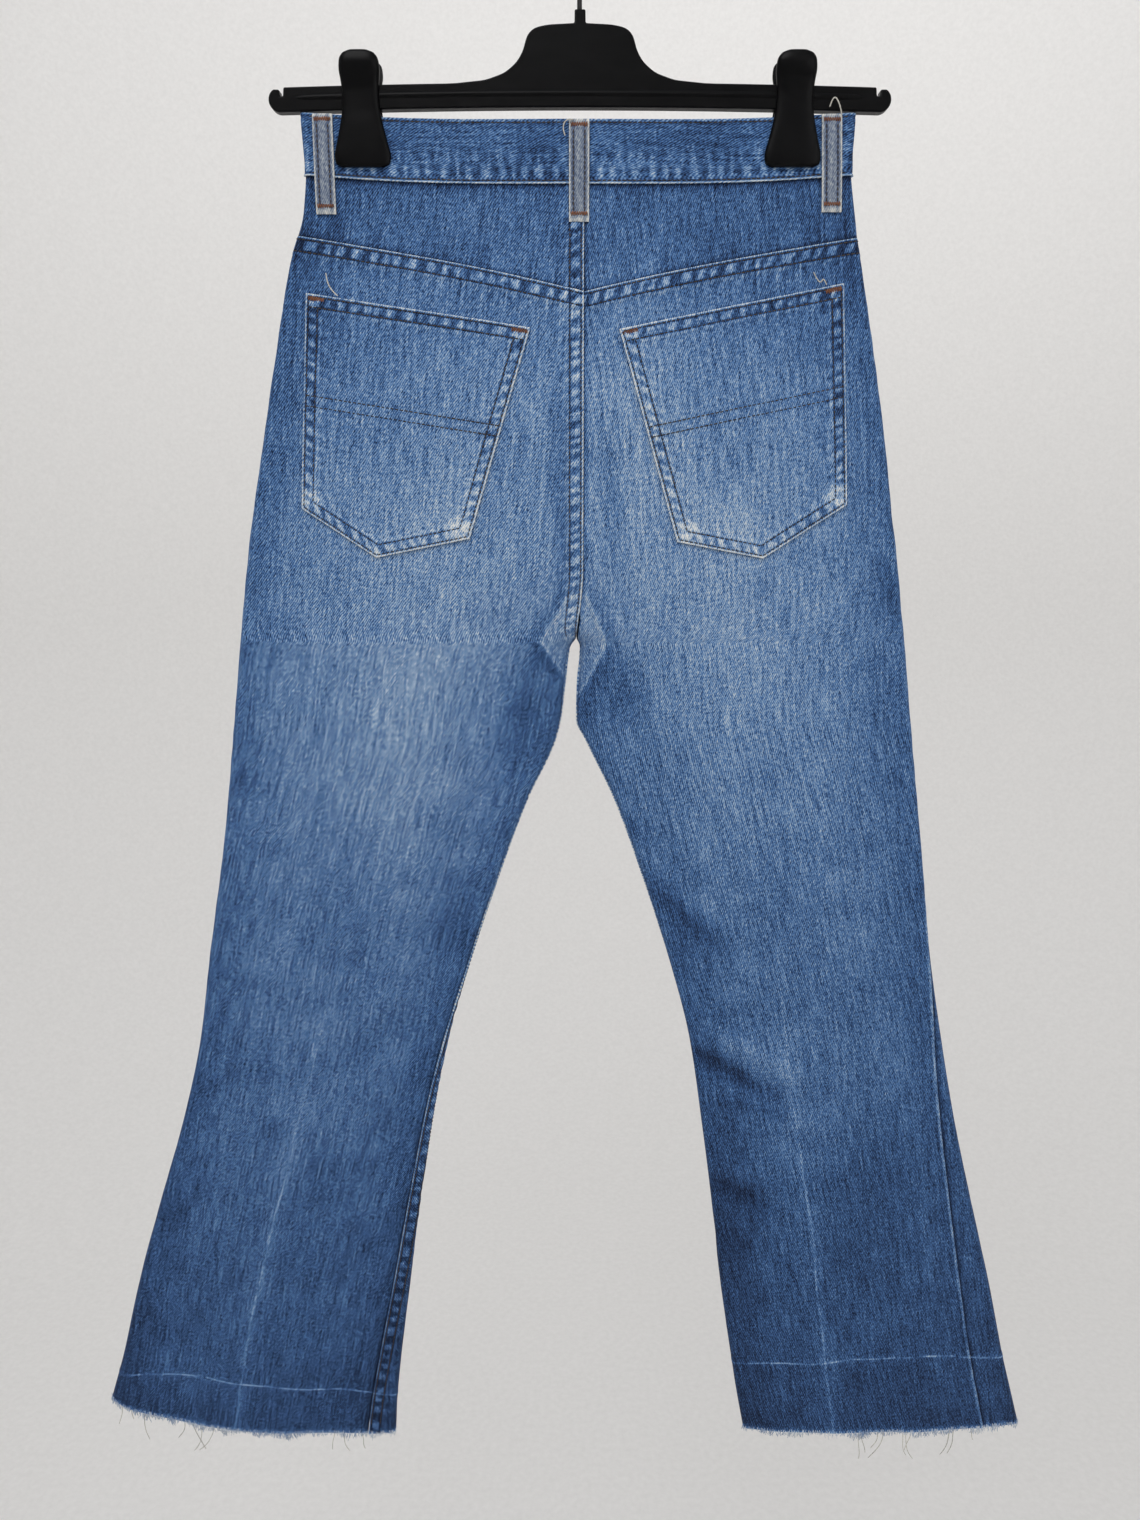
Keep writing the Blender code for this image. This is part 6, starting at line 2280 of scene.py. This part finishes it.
def jaw(name, centre, sign):
    """A moulded jaw with rounded ends, a soft crown and rounded edges."""
    heights = np.concatenate([np.linspace(-91.0, -94.0, 10), np.linspace(-95.0, -150.0, 44),
                              np.linspace(-151.0, -155.0, 10)])
    columns = np.sin(np.linspace(-math.pi / 2, math.pi / 2, 25))
    outer, inner = [], []
    for z in heights:
        half_width = float(smooth(z, JAW_ROWS, 1))
        near = float(smooth(z, JAW_ROWS, 2))
        far = float(smooth(z, JAW_ROWS, 3))
        knob = float(bump(z + 98.0, 6.0))
        grip = 0.35 * float(ease(z, -122.0, -132.0))
        outer_row, inner_row = [], []
        for c in columns:
            edge = math.sqrt(max(0.0, 1 - abs(c) ** 5))
            crown = (far - near) * (0.25 + 0.75 * edge) + (0.8 * knob + grip) * (1 - c * c) - 0.35
            outer_row.append((centre + half_width * c, sign * (near + crown), z))
            inner_row.append((centre + half_width * c, sign * near, z))
        outer.append(outer_row)
        inner.append(inner_row)
    mesh = wall_mesh(name + "_fine", np.array(outer), np.array(inner), range(len(heights)))
    mesh.shade_smooth()
    mesh.set_sharp_from_angle(angle=math.radians(50))
    link(name + "_fine", mesh, PLASTIC_MATERIAL, (name,))


for clip_name, clip_x in CLIPS.items():
    jaw(clip_name + "_outer_jaw", clip_x, -1.0)
    jaw(clip_name + "_inner_jaw", clip_x, 1.0)


# Stage, light and camera

FLOOR = -2.1
STAGE_TOP = 3.2
STAGE_RADIUS = 3.2
STAGE_BEND = 1.4
STAGE_BEND_STEPS = 16
STAGE_SIDES = 96


def stage():
    """A round room: a flat floor that bends up into a wall."""
    rings = []
    for k in range(STAGE_BEND_STEPS + 1):
        turn = math.pi / 2 * k / STAGE_BEND_STEPS
        rings.append((STAGE_RADIUS - STAGE_BEND + STAGE_BEND * math.sin(turn),
                      FLOOR + STAGE_BEND * (1 - math.cos(turn))))
    rings.append((STAGE_RADIUS, STAGE_TOP))
    points = [(0.0, 0.0, FLOOR)]
    for radius, z in rings:
        for side in range(STAGE_SIDES):
            turn = 2 * math.pi * side / STAGE_SIDES
            points.append((radius * math.cos(turn), radius * math.sin(turn), z))
    faces = [(0, 1 + side, 1 + (side + 1) % STAGE_SIDES) for side in range(STAGE_SIDES)]
    for ring in range(len(rings) - 1):
        for side in range(STAGE_SIDES):
            a = 1 + ring * STAGE_SIDES + side
            b = 1 + ring * STAGE_SIDES + (side + 1) % STAGE_SIDES
            faces.append((a, a + STAGE_SIDES, b + STAGE_SIDES, b))
    mesh = bpy.data.meshes.new("studio_bowl")
    mesh.from_pydata(points, [], faces)
    mesh.shade_smooth()
    made = bpy.data.objects.new("studio_bowl", mesh)
    bpy.context.scene.collection.objects.link(made)
    mesh.materials.append(stage_material())


stage()


def area_light(name, place, aim, size, power, colour):
    data = bpy.data.lights.new(name, "AREA")
    data.shape = "RECTANGLE"
    data.size = size[0]
    data.size_y = size[1]
    data.energy = power
    data.color = colour
    made = bpy.data.objects.new(name, data)
    bpy.context.scene.collection.objects.link(made)
    made.location = place
    direction = np.array(aim, float) - np.array(place, float)
    flat = math.hypot(direction[0], direction[1])
    made.rotation_euler = (math.pi / 2 + math.atan2(direction[2], flat), 0,
                           math.atan2(direction[1], direction[0]) - math.pi / 2)


LIGHTS = (
    # name, place, aim, size, watts, colour
    ("key", (-0.7, -1.9, 1.5), (0, 0, -0.5), (1.8, 1.2), 31, (1.0, 1.0, 1.0)),
    ("fill", (1.6, -1.8, 0.2), (0, 0, -0.6), (1.6, 1.6), 10, (1.0, 1.0, 1.0)),
    ("wall", (0.2, 1.2, 1.6), (0, 3.0, -0.3), (2.2, 1.4), 22, (1.0, 0.99, 0.98)),
)
WORLD_COLOUR = (0.93, 0.95, 1.0, 1)
WORLD_STRENGTH = 0.55
CAMERA_PLACE = (-0.0058, -0.780, -0.350)
CAMERA_PITCH_DOWN = 13.3
LENS = 27.05
SENSOR = 36.0

for light in LIGHTS:
    area_light(*light)

world = bpy.data.worlds.new("pale_room")
world.use_nodes = True
world.node_tree.nodes["Background"].inputs[0].default_value = WORLD_COLOUR
world.node_tree.nodes["Background"].inputs[1].default_value = WORLD_STRENGTH
bpy.context.scene.world = world
bpy.context.scene.view_settings.view_transform = "Standard"

camera_data = bpy.data.cameras.new("camera")
camera_data.lens = LENS
camera_data.sensor_width = SENSOR
camera = bpy.data.objects.new("camera", camera_data)
camera.location = CAMERA_PLACE
camera.rotation_euler = (math.radians(90 - CAMERA_PITCH_DOWN), 0, 0)
bpy.context.scene.collection.objects.link(camera)
bpy.context.scene.camera = camera

bpy.context.view_layer.update()
